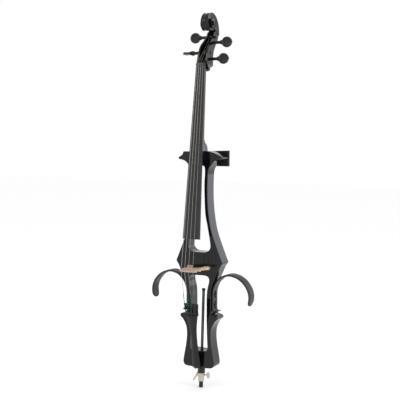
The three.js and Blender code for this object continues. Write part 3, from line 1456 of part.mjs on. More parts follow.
function makeBattery() {
  const x0 = batteryBoxCentreX - batteryHalf;
  const x1 = batteryBoxCentreX + batteryHalf;
  const z0 = panelZ - batteryBoxHalfHeight;
  const z1 = panelZ + batteryBoxHalfHeight;
  const rim = backY - batteryDoorThickness - seatGap;
  const floor = rim - batteryBoxDepth;
  const w = batteryBoxWall;
  let tray = solid(box(x0, x1, floor, rim, z0, z1));
  tray = tray.subtract(solid(box(x0 + w, x1 - w, floor + w, rim + cutOverrun, z0 + w, z1 - w)));
  add("battery_box", tray, satin);
  const gap = w + seatGap;
  const cell = box(x0 + gap, x1 - gap, floor + gap, floor + gap + batteryThickness, z0 + gap, z1 - gap);
  add("battery", solid(cell), cellSkin);

  const inset = seatGap;
  const doorLow = z0 + hingePinRadius;
  const plate = box(x0 + inset, x1 - inset, rim + seatGap, backY, doorLow, z1 - inset);
  const barrel = rod(hingePinRadius, x0 + inset, x1 - inset, axisX, 12);
  const pinY = backY - batteryDoorThickness / 2;
  const grip = box(
    batteryBoxCentreX - batteryWidth / 4, batteryBoxCentreX + batteryWidth / 4,
    backY - seatGap, backY + batteryDoorThickness / 2,
    z1 - inset - barrelWall, z1 - inset,
  );
  const door = solid(plate).add(solid(barrel.translate(0, pinY, doorLow))).add(solid(grip));
  add("battery_door", door, satin);
}

makeBody();
makeNeck();
makeFingerboard();
makeNut();
makeBridge();
addStrings();
makePegs();
makeTailpiece();
makeTuners();
makeTailCord();
makeSaddle();
makeEndpin();
makeKneeRests();
makeChestRest();
makePickups();
makePanel();
makeBattery();

export default cello;
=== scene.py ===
# %% [markdown]
# # An electric cello in black lacquer
# This lesson dresses a measured model of an electric cello. The model comes in as a fixed frame of
# plain solids. Each step below makes one piece, or one finish, at the place where the frame has it.

# %% Load the measured model
import json
import math

import bpy
import bmesh
from mathutils import Matrix, Vector

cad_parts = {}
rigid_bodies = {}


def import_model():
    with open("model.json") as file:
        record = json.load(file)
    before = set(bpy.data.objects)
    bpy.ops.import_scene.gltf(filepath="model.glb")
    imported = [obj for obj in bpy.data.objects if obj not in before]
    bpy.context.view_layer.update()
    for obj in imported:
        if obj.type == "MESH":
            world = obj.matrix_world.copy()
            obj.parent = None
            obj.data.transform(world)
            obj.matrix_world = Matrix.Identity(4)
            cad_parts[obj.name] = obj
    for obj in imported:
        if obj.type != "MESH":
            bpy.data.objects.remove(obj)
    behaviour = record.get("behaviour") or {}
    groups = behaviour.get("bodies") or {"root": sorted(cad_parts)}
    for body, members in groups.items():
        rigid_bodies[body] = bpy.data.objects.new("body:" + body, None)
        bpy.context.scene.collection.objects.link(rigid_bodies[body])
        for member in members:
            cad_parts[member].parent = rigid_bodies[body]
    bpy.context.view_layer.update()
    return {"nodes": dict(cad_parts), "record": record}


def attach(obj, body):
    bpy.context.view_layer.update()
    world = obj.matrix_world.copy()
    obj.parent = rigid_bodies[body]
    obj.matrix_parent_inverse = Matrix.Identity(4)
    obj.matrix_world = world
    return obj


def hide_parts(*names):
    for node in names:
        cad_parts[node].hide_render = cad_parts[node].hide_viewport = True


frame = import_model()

# %% [markdown]
# ## Sizes
# The lengths below are the instrument's own, written in millimetres as a maker would, and turned to
# metres where a mesh is made. The neck, the tailpiece and the endpin lean, so each has a small
# frame of its own: a matrix that takes a point from the leaning piece to the standing instrument.
# Pieces that seat on each other keep a hair's gap, and a tool that cuts runs past the face it cuts.

# %% Lengths and leaning frames
MM = 0.001
BODY_HEIGHT, BODY_HALF, BODY_DEPTH, BODY_LOW = 744.3, 87.3, 52.4, 75.0
ENDPIN_LEAN = math.radians(2.8)
PIN_BEHIND_FRONT = 25.9
FRONT = BODY_LOW * math.tan(ENDPIN_LEAN) - PIN_BEHIND_FRONT
BACK = FRONT + BODY_DEPTH
STRING_LENGTH, NUT_SETBACK, NUT_RISE = 690.0, 1.6, 1.2
BOARD_LENGTH, BOARD_RADIUS, NUT_HALF, BOARD_HALF = 585.0, 62.0, 16.5, 32.0
BRIDGE_HEIGHT, BRIDGE_HALF, BRIDGE_CROWN, BRIDGE_SHARE = 91.0, 45.5, 68.0, 0.4689
TAIL_LENGTH, TAIL_HALF, TAIL_CROWN, TAIL_EDGE = 234.3, 27.3, 5.5, 4.0
TAIL_FOOT_OUT, TAIL_HEAD_OUT, TAIL_FOOT_UP = 11.9, 56.8, 2.0
SEAT_GAP, CUT_PAST = 0.3, 6.0


def arc_drop(radius, x):
    """How far a crowned top has fallen at x from its middle."""
    return radius - math.sqrt(radius * radius - x * x)


def height_at(share):
    """The height of a place that is given as a share of the body's height."""
    return BODY_LOW + BODY_HEIGHT * share


def leaning(x, y, z, turn):
    """A frame at a place in millimetres, turned about X."""
    return Matrix.Translation((x, y, z)) @ Matrix.Rotation(turn, 4, "X")


BRIDGE_Z = height_at(BRIDGE_SHARE)
string_rise = BRIDGE_HEIGHT + NUT_SETBACK - arc_drop(BOARD_RADIUS, NUT_HALF) - NUT_RISE
NUT_Z = BRIDGE_Z + math.sqrt(STRING_LENGTH ** 2 - string_rise ** 2)
BOARD_TILT = math.radians(6.005)
TAIL_TILT = math.asin((TAIL_HEAD_OUT - TAIL_FOOT_OUT) / TAIL_LENGTH)
neck_frame = leaning(0, FRONT + NUT_SETBACK, NUT_Z, -BOARD_TILT)
tail_frame = leaning(0, FRONT - TAIL_FOOT_OUT, BODY_LOW + TAIL_FOOT_UP, TAIL_TILT)
endpin_frame = leaning(0, 0, 0, -ENDPIN_LEAN)
bridge_frame = leaning(0, FRONT - SEAT_GAP, BRIDGE_Z, 0)
print("nut at", round(NUT_Z, 2), "mm, board leans", round(math.degrees(BOARD_TILT), 2), "degrees")

# %% [markdown]
# ## The camera
# The picture was taken from the front right, slightly above the instrument's middle, with a long
# lens.
# The three directions of the camera were found by fitting known lengths, and they go straight into
# the camera's matrix. Its own -Z looks forward.

# %% Camera
camera_data = bpy.data.cameras.new("studio_camera")
camera_data.sensor_width = 36.0
camera_data.lens = 71.84
camera_data.clip_end = 60.0
camera = bpy.data.objects.new("studio_camera", camera_data)
bpy.context.scene.collection.objects.link(camera)
looks = Vector((-0.44775996, 0.8914677, -0.06925576))
right = Vector((0.89339545, 0.44922555, 0.0064018))
up = Vector((-0.03681846, 0.05900631, 0.9975784))
turn = Matrix((right, up, -looks)).transposed().to_4x4()
camera.matrix_world = Matrix.Translation((1.2178, -2.4409, 0.8423)) @ turn
bpy.context.scene.camera = camera
print("camera", [round(v, 3) for v in camera.matrix_world.translation])

# %% [markdown]
# ## Floor and light
# Black lacquer is a mirror: it shows what stands round it. A pale floor and an even, bright room
# give it the soft greys of a studio. A white lamp stands high on the left, a larger and cooler one
# on the right, and a weak one behind draws the long highlight on the edge that faces away.

# %% Studio
world = bpy.data.worlds.new("studio_room")
bpy.context.scene.world = world
world.use_nodes = True
world.node_tree.nodes["Background"].inputs["Color"].default_value = (1.0, 1.0, 1.0, 1.0)
world.node_tree.nodes["Background"].inputs["Strength"].default_value = 1.0
bpy.context.scene.view_settings.view_transform = "Standard"


def lamp(name, place, target, size, power):
    """A soft square lamp that looks at a target."""
    data = bpy.data.lights.new(name, "AREA")
    data.shape, data.size, data.energy = "SQUARE", size, power
    thing = bpy.data.objects.new(name, data)
    thing.location = place
    thing.rotation_euler = (Vector(target) - Vector(place)).to_track_quat("-Z", "Y").to_euler()
    bpy.context.scene.collection.objects.link(thing)
    return thing


lamp("key_lamp", (-1.6, -2.2, 2.6), (0, 0, 0.7), 1.2, 14.0)
side_lamp = lamp("side_lamp", (2.4, -0.4, 1.5), (0, 0, 0.7), 1.6, 27.0)
side_lamp.data.color = (0.88, 0.93, 1.0)
rim_lamp = lamp("rim_lamp", (1.45, 2.7, 0.95), (0, 0, 0.65), 1.1, 4.0)
rim_lamp.data.color = (0.85, 0.92, 1.0)

FLOOR_REACH = 14.0
floor_mesh = bpy.data.meshes.new("studio_floor")
floor_corners = [(x * FLOOR_REACH, y * FLOOR_REACH, 0)
                 for x, y in ((-1, -1), (1, -1), (1, 1), (-1, 1))]
floor_mesh.from_pydata(floor_corners, [], [(0, 1, 2, 3)])
floor = bpy.data.objects.new("studio_floor", floor_mesh)
bpy.context.scene.collection.objects.link(floor)
print("lamps:", len(bpy.data.lights), "floor:", 2 * FLOOR_REACH, "m wide")

# %% [markdown]
# ## Finishes
# Every finish is a small graph round one Principled shader. Even values sit on the shader itself.
# What varies, such as grain, brush marks and moulded texture, comes from noise that reads the
# piece's own Object coordinates, so it stays on the piece from every side.

# %% A finish and its noise
def finish(name, color, roughness, metallic=0.0, **sockets):
    """A material with even values, set on the shader's own sockets."""
    material = bpy.data.materials.new(name)
    material.use_nodes = True
    shader = material.node_tree.nodes["Principled BSDF"]
    shader.inputs["Base Color"].default_value = (*color, 1.0)
    shader.inputs["Roughness"].default_value = roughness
    shader.inputs["Metallic"].default_value = metallic
    for label, value in sockets.items():
        shader.inputs[label.replace("_", " ")].default_value = value
    return material


def noise_on(material, stretch, detail):
    """Noise in the piece's own coordinates: stretch gives its frequency along X, Y and Z."""
    nodes, links = material.node_tree.nodes, material.node_tree.links
    coords = nodes.new("ShaderNodeTexCoord")
    mapping = nodes.new("ShaderNodeMapping")
    mapping.inputs["Scale"].default_value = stretch
    noise = nodes.new("ShaderNodeTexNoise")
    noise.inputs["Scale"].default_value = 1.0
    noise.inputs["Detail"].default_value = detail
    links.new(coords.outputs["Object"], mapping.inputs["Vector"])
    links.new(mapping.outputs["Vector"], noise.inputs["Vector"])
    return noise.outputs["Fac"]


print("helpers:", finish.__name__, "and", noise_on.__name__)


# %% Noise into bump, roughness and colour
def into_bump(material, source, strength, distance):
    """Chains a height onto whatever bump the shader already has."""
    nodes, links = material.node_tree.nodes, material.node_tree.links
    shader = nodes["Principled BSDF"]
    bump = nodes.new("ShaderNodeBump")
    bump.inputs["Strength"].default_value = strength
    bump.inputs["Distance"].default_value = distance
    if shader.inputs["Normal"].links:
        links.new(shader.inputs["Normal"].links[0].from_socket, bump.inputs["Normal"])
    links.new(source, bump.inputs["Height"])
    links.new(bump.outputs["Normal"], shader.inputs["Normal"])


def into_roughness(material, source, low, high):
    """Spreads a noise's middle range over the roughness from low to high."""
    nodes, links = material.node_tree.nodes, material.node_tree.links
    spread = nodes.new("ShaderNodeMapRange")
    spread.inputs["From Min"].default_value = 0.3
    spread.inputs["From Max"].default_value = 0.7
    spread.inputs["To Min"].default_value = low
    spread.inputs["To Max"].default_value = high
    links.new(source, spread.inputs["Value"])
    links.new(spread.outputs["Result"], nodes["Principled BSDF"].inputs["Roughness"])


def into_color(material, source, stops):
    """Colours along a noise: pairs of place and colour."""
    nodes, links = material.node_tree.nodes, material.node_tree.links
    ramp = nodes.new("ShaderNodeValToRGB")
    while len(ramp.color_ramp.elements) < len(stops):
        ramp.color_ramp.elements.new(0.5)
    for element, (place, color) in zip(ramp.color_ramp.elements, stops):
        element.position = place
        element.color = (*color, 1.0)
    links.new(source, ramp.inputs["Fac"])
    links.new(ramp.outputs["Color"], nodes["Principled BSDF"].inputs["Base Color"])


print("uses of a noise:", [use.__name__ for use in (into_bump, into_roughness, into_color)])

# %% [markdown]
# ### Lacquer, ebony and maple
# The lacquer is polished until only a faint orange peel is left, a ripple of a few millimetres.
# Ebony has fine open pores along the neck. Maple is pale with warm rays and brown flecks.

# %% Wood finishes
lacquer = finish("black_lacquer", (0.004, 0.004, 0.005), 0.05, Specular_IOR_Level=0.33)
into_bump(lacquer, noise_on(lacquer, (90, 90, 90), 1.0), 0.05, 0.0006)
into_roughness(lacquer, noise_on(lacquer, (14, 14, 14), 4.0), 0.035, 0.075)

ebony = finish("satin_ebony", (0.014, 0.012, 0.011), 0.34, Specular_IOR_Level=0.42)
into_color(ebony, noise_on(ebony, (420, 420, 9), 5.0),
           [(0.3, (0.008, 0.007, 0.007)), (0.7, (0.022, 0.019, 0.017))])
into_bump(ebony, noise_on(ebony, (900, 900, 26), 3.0), 0.12, 0.0002)
into_roughness(ebony, noise_on(ebony, (60, 60, 12), 3.0), 0.28, 0.42)

dark_ebony = finish("polished_dark_ebony", (0.008, 0.007, 0.007), 0.32, Specular_IOR_Level=0.3)
into_color(dark_ebony, noise_on(dark_ebony, (260, 600, 600), 5.0),
           [(0.3, (0.005, 0.004, 0.004)), (0.7, (0.013, 0.011, 0.01))])
into_bump(dark_ebony, noise_on(dark_ebony, (500, 900, 900), 3.0), 0.1, 0.0001)
into_roughness(dark_ebony, noise_on(dark_ebony, (90, 90, 90), 3.0), 0.26, 0.4)

maple = finish("oiled_maple", (0.5, 0.37, 0.26), 0.42, Coat_Weight=0.15, Coat_Roughness=0.3)
into_color(
    maple,
    noise_on(maple, (60, 160, 420), 6.0),
    [(0.2, (0.32, 0.19, 0.11)), (0.48, (0.48, 0.35, 0.25)), (0.8, (0.6, 0.47, 0.36))],
)
into_bump(maple, noise_on(maple, (300, 900, 1500), 3.0), 0.15, 0.0001)
print("woods:", [wood.name for wood in (lacquer, ebony, dark_ebony, maple)])

# %% [markdown]
# ### Metals, rubber and plastic
# The collar is a warm nickel. The rod is drawn steel with brush marks along it. The straps carry a
# satin powder coat, which has a fine even pimple, and the rubber is duller and a little dusty.

# %% Metal finishes
nickel = finish("warm_nickel", (0.5, 0.465, 0.39), 0.24, 1.0)
into_roughness(nickel, noise_on(nickel, (220, 220, 220), 4.0), 0.18, 0.34)
into_bump(nickel, noise_on(nickel, (500, 500, 500), 2.0), 0.04, 0.0001)

drawn_steel = finish("dark_drawn_steel", (0.13, 0.13, 0.135), 0.25, 1.0)
into_roughness(drawn_steel, noise_on(drawn_steel, (900, 900, 6), 3.0), 0.2, 0.38)
into_bump(drawn_steel, noise_on(drawn_steel, (1400, 1400, 9), 2.0), 0.08, 0.0001)

wound_string = finish("wound_string", (0.36, 0.34, 0.32), 0.42, 1.0)
into_bump(wound_string, noise_on(wound_string, (200, 200, 3000), 1.0), 0.02, 0.00001)

black_metal = finish("black_plated_metal", (0.016, 0.016, 0.018), 0.3, 0.5, Specular_IOR_Level=0.35)
into_roughness(black_metal, noise_on(black_metal, (300, 300, 300), 4.0), 0.22, 0.4)

print("metals:", [metal.name for metal in (nickel, drawn_steel, wound_string, black_metal)])

# %% Coated, moulded and floor finishes
powder_coat = finish("satin_powder_coat", (0.007, 0.007, 0.008), 0.36, Specular_IOR_Level=0.26)
into_bump(powder_coat, noise_on(powder_coat, (1600, 1600, 1600), 2.0), 0.25, 0.0001)
into_roughness(powder_coat, noise_on(powder_coat, (40, 40, 40), 4.0), 0.28, 0.42)

rubber = finish("black_rubber", (0.01, 0.01, 0.011), 0.5, Specular_IOR_Level=0.42)
into_bump(rubber, noise_on(rubber, (2200, 2200, 2200), 2.0), 0.2, 0.0001)
into_roughness(rubber, noise_on(rubber, (70, 70, 70), 4.0), 0.4, 0.58)

plastic = finish("moulded_plastic", (0.01, 0.01, 0.011), 0.42, Specular_IOR_Level=0.4)
into_bump(plastic, noise_on(plastic, (2600, 2600, 2600), 2.0), 0.18, 0.0001)

solder_mask = finish("solder_mask", (0.01, 0.1, 0.04), 0.35)
into_color(solder_mask, noise_on(solder_mask, (240, 20, 260), 2.0),
           [(0.45, (0.008, 0.08, 0.03)), (0.55, (0.02, 0.16, 0.06))])

cell_sleeve = finish("battery_sleeve", (0.035, 0.035, 0.04), 0.3, 0.3)
into_roughness(cell_sleeve, noise_on(cell_sleeve, (120, 120, 120), 3.0), 0.24, 0.4)

pale_floor = finish("pale_floor", (0.93, 0.93, 0.93), 0.85,
                    Emission_Color=(1, 1, 1, 1), Emission_Strength=0.05)
into_roughness(pale_floor, noise_on(pale_floor, (3, 3, 3), 2.0), 0.75, 0.9)
floor_mesh.materials.append(pale_floor)
print("finishes:", len(bpy.data.materials))

# %% [markdown]
# ## Every solid gets its finish
# Solids whose plain shape is already right stay as they are and only change their material. The
# table names the finish of each one. Pieces made later stand in for the rest.

# %% Finish of each solid
finish_of = {
    lacquer: "body neck",
    ebony: "fingerboard nut",
    dark_ebony: "saddle tailpiece peg_a peg_c peg_d peg_g",
    maple: "bridge",
    wound_string: "string_c string_g string_d string_a",
    nickel: "endpin_collar collar_wing_screw collar_lever pickup_left pickup_right"
    " volume_pot tone_pot output_jack headphone_jack",
    drawn_steel: "endpin_rod endpin_spike chest_rod_left chest_rod_right",
    black_metal: "tuner_lever_c tuner_lever_g tuner_lever_d tuner_lever_a"
    " tuner_screw_c tuner_screw_g tuner_screw_d tuner_screw_a",
    powder_coat: "knee_rest_left knee_rest_right chest_plate knee_screw_lower_left"
    " knee_screw_lower_right knee_screw_upper_left knee_screw_upper_right",
    rubber: "knee_sleeve_left knee_sleeve_right chest_pad rubber_foot",
    plastic: "endpin_plug endpin_cap tail_cord pickup_lead control_cover volume_knob tone_knob"
    " switch_body power_switch battery_box battery_door",
    solder_mask: "preamp_board",
    cell_sleeve: "battery",
}
finish_by_node = {node: material for material, nodes in finish_of.items() for node in nodes.split()}
for node, thing in frame["nodes"].items():
    thing.data.materials.clear()
    thing.data.materials.append(finish_by_node[node])
print("solids with a finish:", len(finish_by_node))

# %% [markdown]
# ## Helpers for making pieces
# A maker works from outlines and sections. The helpers below draw a smooth curve through a few
# measured points, skin a row of rings, turn a profile on an axis, and cut one solid with others.
# All of them work in millimetres and turn to metres only when the mesh is made.

# %% Smooth curves through measured points
def spline_piece(a, b, c, d, share):
    """One span of a centripetal curve from b to c, which does not overshoot at tight corners."""
    gap = [max((q - p).length ** 0.5, 1e-4) for p, q in ((a, b), (b, c), (c, d))]
    leave = (b - a) / gap[0] - (c - a) / (gap[0] + gap[1]) + (c - b) / gap[1]
    arrive = (c - b) / gap[1] - (d - b) / (gap[1] + gap[2]) + (d - c) / gap[2]
    leave, arrive = leave * gap[1], arrive * gap[1]
    cubic = 2 * b - 2 * c + leave + arrive
    square = -3 * b + 3 * c - 2 * leave - arrive
    return b + leave * share + square * share ** 2 + cubic * share ** 3


def smooth_ring(points, steps):
    """A smooth closed curve through the points, with so many steps to a span."""
    found = []
    for k in range(len(points)):
        a, b, c, d = (points[(k + shift) % len(points)] for shift in (-1, 0, 1, 2))
        found += [spline_piece(a, b, c, d, step / steps) for step in range(steps)]
    return found


def smooth_path(points, steps):
    """A smooth open curve through the points."""
    padded = [2 * points[0] - points[1]] + points + [2 * points[-1] - points[-2]]
    found = []
    for k in range(len(points) - 1):
        found += [spline_piece(*padded[k:k + 4], step / steps) for step in range(steps)]
    return found + [points[-1]]


def mirrored_outline(shares, half, height, steps, left_shares=None):
    """The right half is given as shares; the left half is its mirror image or has its own."""
    right_side = [Vector((x * half, z * height)) for x, z in shares]
    left_side = [Vector((-x * half, z * height))
                 for x, z in reversed((left_shares or shares)[1:-1])]
    return smooth_ring(right_side + left_side, steps)


bend = smooth_path([Vector((0, 0)), Vector((1, 0)), Vector((1, 1))], 8)
print("three points give a bend of", len(bend), "points")


# %% Meshes and lofts
def mesh_of(name, points, faces, place):
    """A closed mesh in metres from points in millimetres, with its faces turned outwards."""
    moved = [(place @ Vector(p) if place else Vector(p)) * MM for p in points]
    mesh = bpy.data.meshes.new(name)
    mesh.from_pydata([tuple(p) for p in moved], [], faces)
    form = bmesh.new()
    form.from_mesh(mesh)
    bmesh.ops.remove_doubles(form, verts=form.verts, dist=1e-7)
    bmesh.ops.dissolve_degenerate(form, edges=form.edges, dist=1e-7)
    bmesh.ops.recalc_face_normals(form, faces=form.faces)
    form.to_mesh(mesh)
    form.free()
    return mesh


def loft(name, rings, place=None, ends=True):
    """A skin over rings of equal count. With ends=False the last ring joins the first."""
    count = len(rings[0])
    points = [p for ring in rings for p in ring]
    faces = []
    for r in range(len(rings) if not ends else len(rings) - 1):
        low, high = r * count, ((r + 1) % len(rings)) * count
        for k in range(count):
            j = (k + 1) % count
            faces.append((low + k, low + j, high + j, high + k))
    if ends:
        faces.append(tuple(reversed(range(count))))
        faces.append(tuple(range(len(points) - count, len(points))))
    return mesh_of(name, points, faces, place)


print("helpers:", mesh_of.__name__, "and", loft.__name__)

# %% Turned shapes
TO_X = Matrix.Rotation(math.radians(90), 4, "Y")
TO_MINUS_X = Matrix.Rotation(math.radians(-90), 4, "Y")
TO_Y = Matrix.Rotation(math.radians(-90), 4, "X")
TO_Z = Matrix.Identity(4)


def turned(name, profile, place, sides, axis=TO_Z):
    """A profile of radius and distance along the axis, turned all the way round."""
    closed = profile[0][0] > 0
    rings = []
    for radius, along in profile:
        ring = []
        for k in range(sides):
            angle = 2 * math.pi * k / sides
            ring.append(axis @ Vector((radius * math.cos(angle), radius * math.sin(angle), along)))
        rings.append(ring)
    if not closed:
        for ring in (rings[0], rings[-1]):
            middle = sum(ring, Vector((0, 0, 0))) / sides
            ring[:] = [middle.copy() for _ in ring]
    return loft(name, rings, place, ends=not closed)


def straight_rod(name, radius, low, high, place, sides, axis=TO_Z):
    """A plain round rod from low to high on its axis: a pin, a shaft, or a drill to cut with."""
    return turned(name, [(0, low), (radius, low), (radius, high), (0, high)], place, sides, axis)


def softened(profile, radius, steps=3):
    """Rounds the corners of a turned profile, as a file or a mould would leave them."""
    points = [Vector(p) for p in profile]
    found = [points[0]]
    for a, b, c in zip(points, points[1:], points[2:]):
        before, after = (a - b), (c - b)
        reach = min(radius, before.length * 0.45, after.length * 0.45)
        start, end = b + before.normalized() * reach, b + after.normalized() * reach
        for k in range(steps + 1):
            t = k / steps
            found.append((1 - t) ** 2 * start + 2 * t * (1 - t) * b + t * t * end)
    return [tuple(p) for p in found + [points[-1]]]


rim = softened([(0, 0), (5, 0), (5, 5), (0, 5)], 1)
print("a rim of 4 points is softened to", len(rim))


# %% Plates and blocks
def plate(name, outlines, low, high, edge=0.0, place=None, edge_steps=3):
    """A flat outline with holes, drawn in X and Z, that reaches from depth low to high."""
    curve = bpy.data.curves.new(name, "CURVE")
    curve.dimensions, curve.fill_mode = "2D", "BOTH"
    curve.extrude = ((high - low) / 2 - edge) * MM
    curve.bevel_depth, curve.offset, curve.bevel_resolution = edge * MM, -edge * MM, edge_steps
    for outline in outlines:
        spline = curve.splines.new("POLY")
        spline.points.add(len(outline) - 1)
        for point, p in zip(spline.points, outline):
            point.co = (p[0] * MM, p[1] * MM, 0, 1)
        spline.use_cyclic_u = True
    drawn = bpy.data.objects.new(name, curve)
    bpy.context.scene.collection.objects.link(drawn)
    graph = bpy.context.evaluated_depsgraph_get()
    mesh = bpy.data.meshes.new_from_object(drawn.evaluated_get(graph))
    bpy.data.objects.remove(drawn)
    bpy.data.curves.remove(curve)
    stand = Matrix.Translation((0, (low + high) / 2, 0)) @ Matrix.Rotation(math.radians(90), 4, "X")
    points = [stand @ (v.co / MM) for v in mesh.vertices]
    return mesh_of(name, points, [tuple(p.vertices) for p in mesh.polygons], place)


def block(name, low, high, place=None):
    """A plain box between two corners, used to cut with."""
    xs, ys, zs = zip(low, high)
    points = [(x, y, z) for x in xs for y in ys for z in zs]
    faces = [(0, 1, 3, 2), (4, 6, 7, 5), (0, 4, 5, 1), (2, 3, 7, 6), (0, 2, 6, 4), (1, 5, 7, 3)]
    return mesh_of(name, points, faces, place)


print("helpers:", plate.__name__, "and", block.__name__)


# %% Cuts, and copies of the frame's solids
def evaluated(thing):
    """The thing's mesh with its modifiers in it."""
    graph = bpy.context.evaluated_depsgraph_get()
    return bpy.data.meshes.new_from_object(thing.evaluated_get(graph), depsgraph=graph)


def carve(mesh, cutters, operation="DIFFERENCE"):
    """The mesh after each cutter has been taken away, or joined on."""
    for cutter in cutters:
        stock = bpy.data.objects.new("stock", mesh)
        tool = bpy.data.objects.new("tool", cutter)
        for thing in (stock, tool):
            bpy.context.scene.collection.objects.link(thing)
        cut = stock.modifiers.new("cut", "BOOLEAN")
        cut.operation, cut.solver, cut.object = operation, "EXACT", tool
        name, mesh = mesh.name, evaluated(stock)
        bpy.data.objects.remove(stock)
        bpy.data.objects.remove(tool)
        mesh.name = name
    return mesh


def copy_of(node, name):
    """A welded copy of a solid of the frame, whose own mesh is loose triangles."""
    source = frame["nodes"][node].data
    mesh = bpy.data.meshes.new(name)
    mesh.from_pydata([tuple(v.co) for v in source.vertices], [],
                     [tuple(p.vertices) for p in source.polygons])
    form = bmesh.new()
    form.from_mesh(mesh)
    bmesh.ops.remove_doubles(form, verts=form.verts, dist=1e-6)
    bmesh.ops.recalc_face_normals(form, faces=form.faces)
    form.to_mesh(mesh)
    form.free()
    return mesh


print("solids that can be copied:", len(frame["nodes"]))

# %% Shading, body and slot of a finished piece
body_of_node = {node: body for body, nodes in frame["record"]["behaviour"]["bodies"].items()
                for node in nodes}


def set_in(name, mesh, material, nodes, crease, flat_faces=False, body=None, hide=True):
    """Shades a mesh, puts it on the body of the first node named, and hides what it stands for."""
    thing = bpy.data.objects.new(name, mesh)
    bpy.context.scene.collection.objects.link(thing)
    mesh.materials.clear()
    mesh.materials.append(material)
    mesh.polygons.foreach_set("use_smooth", [True] * len(mesh.polygons))
    mesh.set_sharp_from_angle(angle=math.radians(crease))
    if flat_faces:
        thing.modifiers.new("flat_faces", "WEIGHTED_NORMAL").keep_sharp = True
        thing.data = evaluated(thing)
        thing.modifiers.clear()
    thing.data.name = name
    nodes = nodes.split()
    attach(thing, body or body_of_node[nodes[0]])
    if hide:
        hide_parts(*nodes)
    print(name, "faces:", len(thing.data.polygons), "body:", body or body_of_node[nodes[0]])
    return thing


# %% [markdown]
# ## A tree for everything that follows a line
# Strings, their silk, the tail cord and the pickup's lead are round and follow a path. One Geometry
# Nodes tree sweeps a circle along any path, so only the path changes from piece to piece.

# %% Geometry Nodes: how a tree starts, ends and is used
def new_tree(name, inputs):
    """A tree with geometry in and out and named inputs; returns it with its ends."""
    tree = bpy.data.node_groups.new(name, "GeometryNodeTree")
    tree.interface.new_socket(name="Geometry", in_out="INPUT", socket_type="NodeSocketGeometry")
    for label, kind, value in inputs:
        socket = tree.interface.new_socket(name=label, in_out="INPUT",
                                           socket_type="NodeSocket" + kind)
        if value is not None:
            socket.default_value = value
    tree.interface.new_socket(name="Geometry", in_out="OUTPUT", socket_type="NodeSocketGeometry")
    return tree, tree.nodes.new("NodeGroupInput"), tree.nodes.new("NodeGroupOutput")


def close_tree(tree, start, end, geometry):
    """Every tree ends by making its copies real and giving them their finish."""
    real = tree.nodes.new("GeometryNodeRealizeInstances")
    finish_node = tree.nodes.new("GeometryNodeSetMaterial")
    tree.links.new(geometry, real.inputs["Geometry"])
    tree.links.new(real.outputs["Geometry"], finish_node.inputs["Geometry"])
    tree.links.new(start.outputs["Finish"], finish_node.inputs["Material"])
    tree.links.new(finish_node.outputs["Geometry"], end.inputs["Geometry"])


def grown(thing, tree, **values):
    """Runs a tree on a thing, with its inputs set by identifier, and gives back a plain mesh."""
    modifier = thing.modifiers.new(tree.name, "NODES")
    modifier.node_group = tree
    for item in tree.interface.items_tree:
        if item.in_out == "INPUT" and item.name in values:
            modifier[item.identifier] = values[item.name]
    mesh = evaluated(thing)
    thing.modifiers.remove(modifier)
    bpy.data.objects.remove(thing)
    return mesh


print("trees so far:", len(bpy.data.node_groups))

# %% Geometry Nodes: a round tube along a path
tube_tree, start, end = new_tree(
    "tube_along_path",
    [("Radius", "Float", 0.001), ("Sides", "Int", 12), ("Finish", "Material", None)],
)
circle = tube_tree.nodes.new("GeometryNodeCurvePrimitiveCircle")
sweep = tube_tree.nodes.new("GeometryNodeCurveToMesh")
sweep.inputs["Fill Caps"].default_value = True
tube_tree.links.new(start.outputs["Sides"], circle.inputs["Resolution"])
tube_tree.links.new(start.outputs["Radius"], circle.inputs["Radius"])
tube_tree.links.new(start.outputs["Geometry"], sweep.inputs["Curve"])
tube_tree.links.new(circle.outputs["Curve"], sweep.inputs["Profile Curve"])
close_tree(tube_tree, start, end, sweep.outputs["Mesh"])


def path_object(name, points):
    """A curve of one spline through the points, for the tree to sweep along."""
    curve = bpy.data.curves.new(name, "CURVE")
    curve.dimensions, curve.twist_mode = "3D", "MINIMUM"
    spline = curve.splines.new("POLY")
    spline.points.add(len(points) - 1)
    for point, p in zip(spline.points, points):
        point.co = (p[0] * MM, p[1] * MM, p[2] * MM, 1)
    thing = bpy.data.objects.new(name, curve)
    bpy.context.scene.collection.objects.link(thing)
    return thing


def tube(name, points, radius, material, sides):
    """A round tube in millimetres, grown by the tree."""
    values = {"Radius": radius * MM, "Sides": sides, "Finish": material}
    mesh = grown(path_object(name, points), tube_tree, **values)
    mesh.name = name
    return mesh


print("tree:", tube_tree.name, "nodes:", len(tube_tree.nodes))


# %% Several closed meshes in one
def joined(name, meshes):
    """Several closed meshes in one."""
    form = bmesh.new()
    for mesh in meshes:
        form.from_mesh(mesh)
    bmesh.ops.remove_doubles(form, verts=form.verts, dist=1e-8)
    bmesh.ops.recalc_face_normals(form, faces=form.faces)
    whole = bpy.data.meshes.new(name)
    form.to_mesh(whole)
    form.free()
    return whole


print("trees:", len(bpy.data.node_groups))

# %% [markdown]
# ## The body
# On the real instrument the body is one thick board, sawn to an open outline and rounded along its
# edges before it is lacquered. A flat curve with two holes, extruded and bevelled, is made the same
# way. The bays, bores and screw holes are then cut from it, as a router and a drill would.

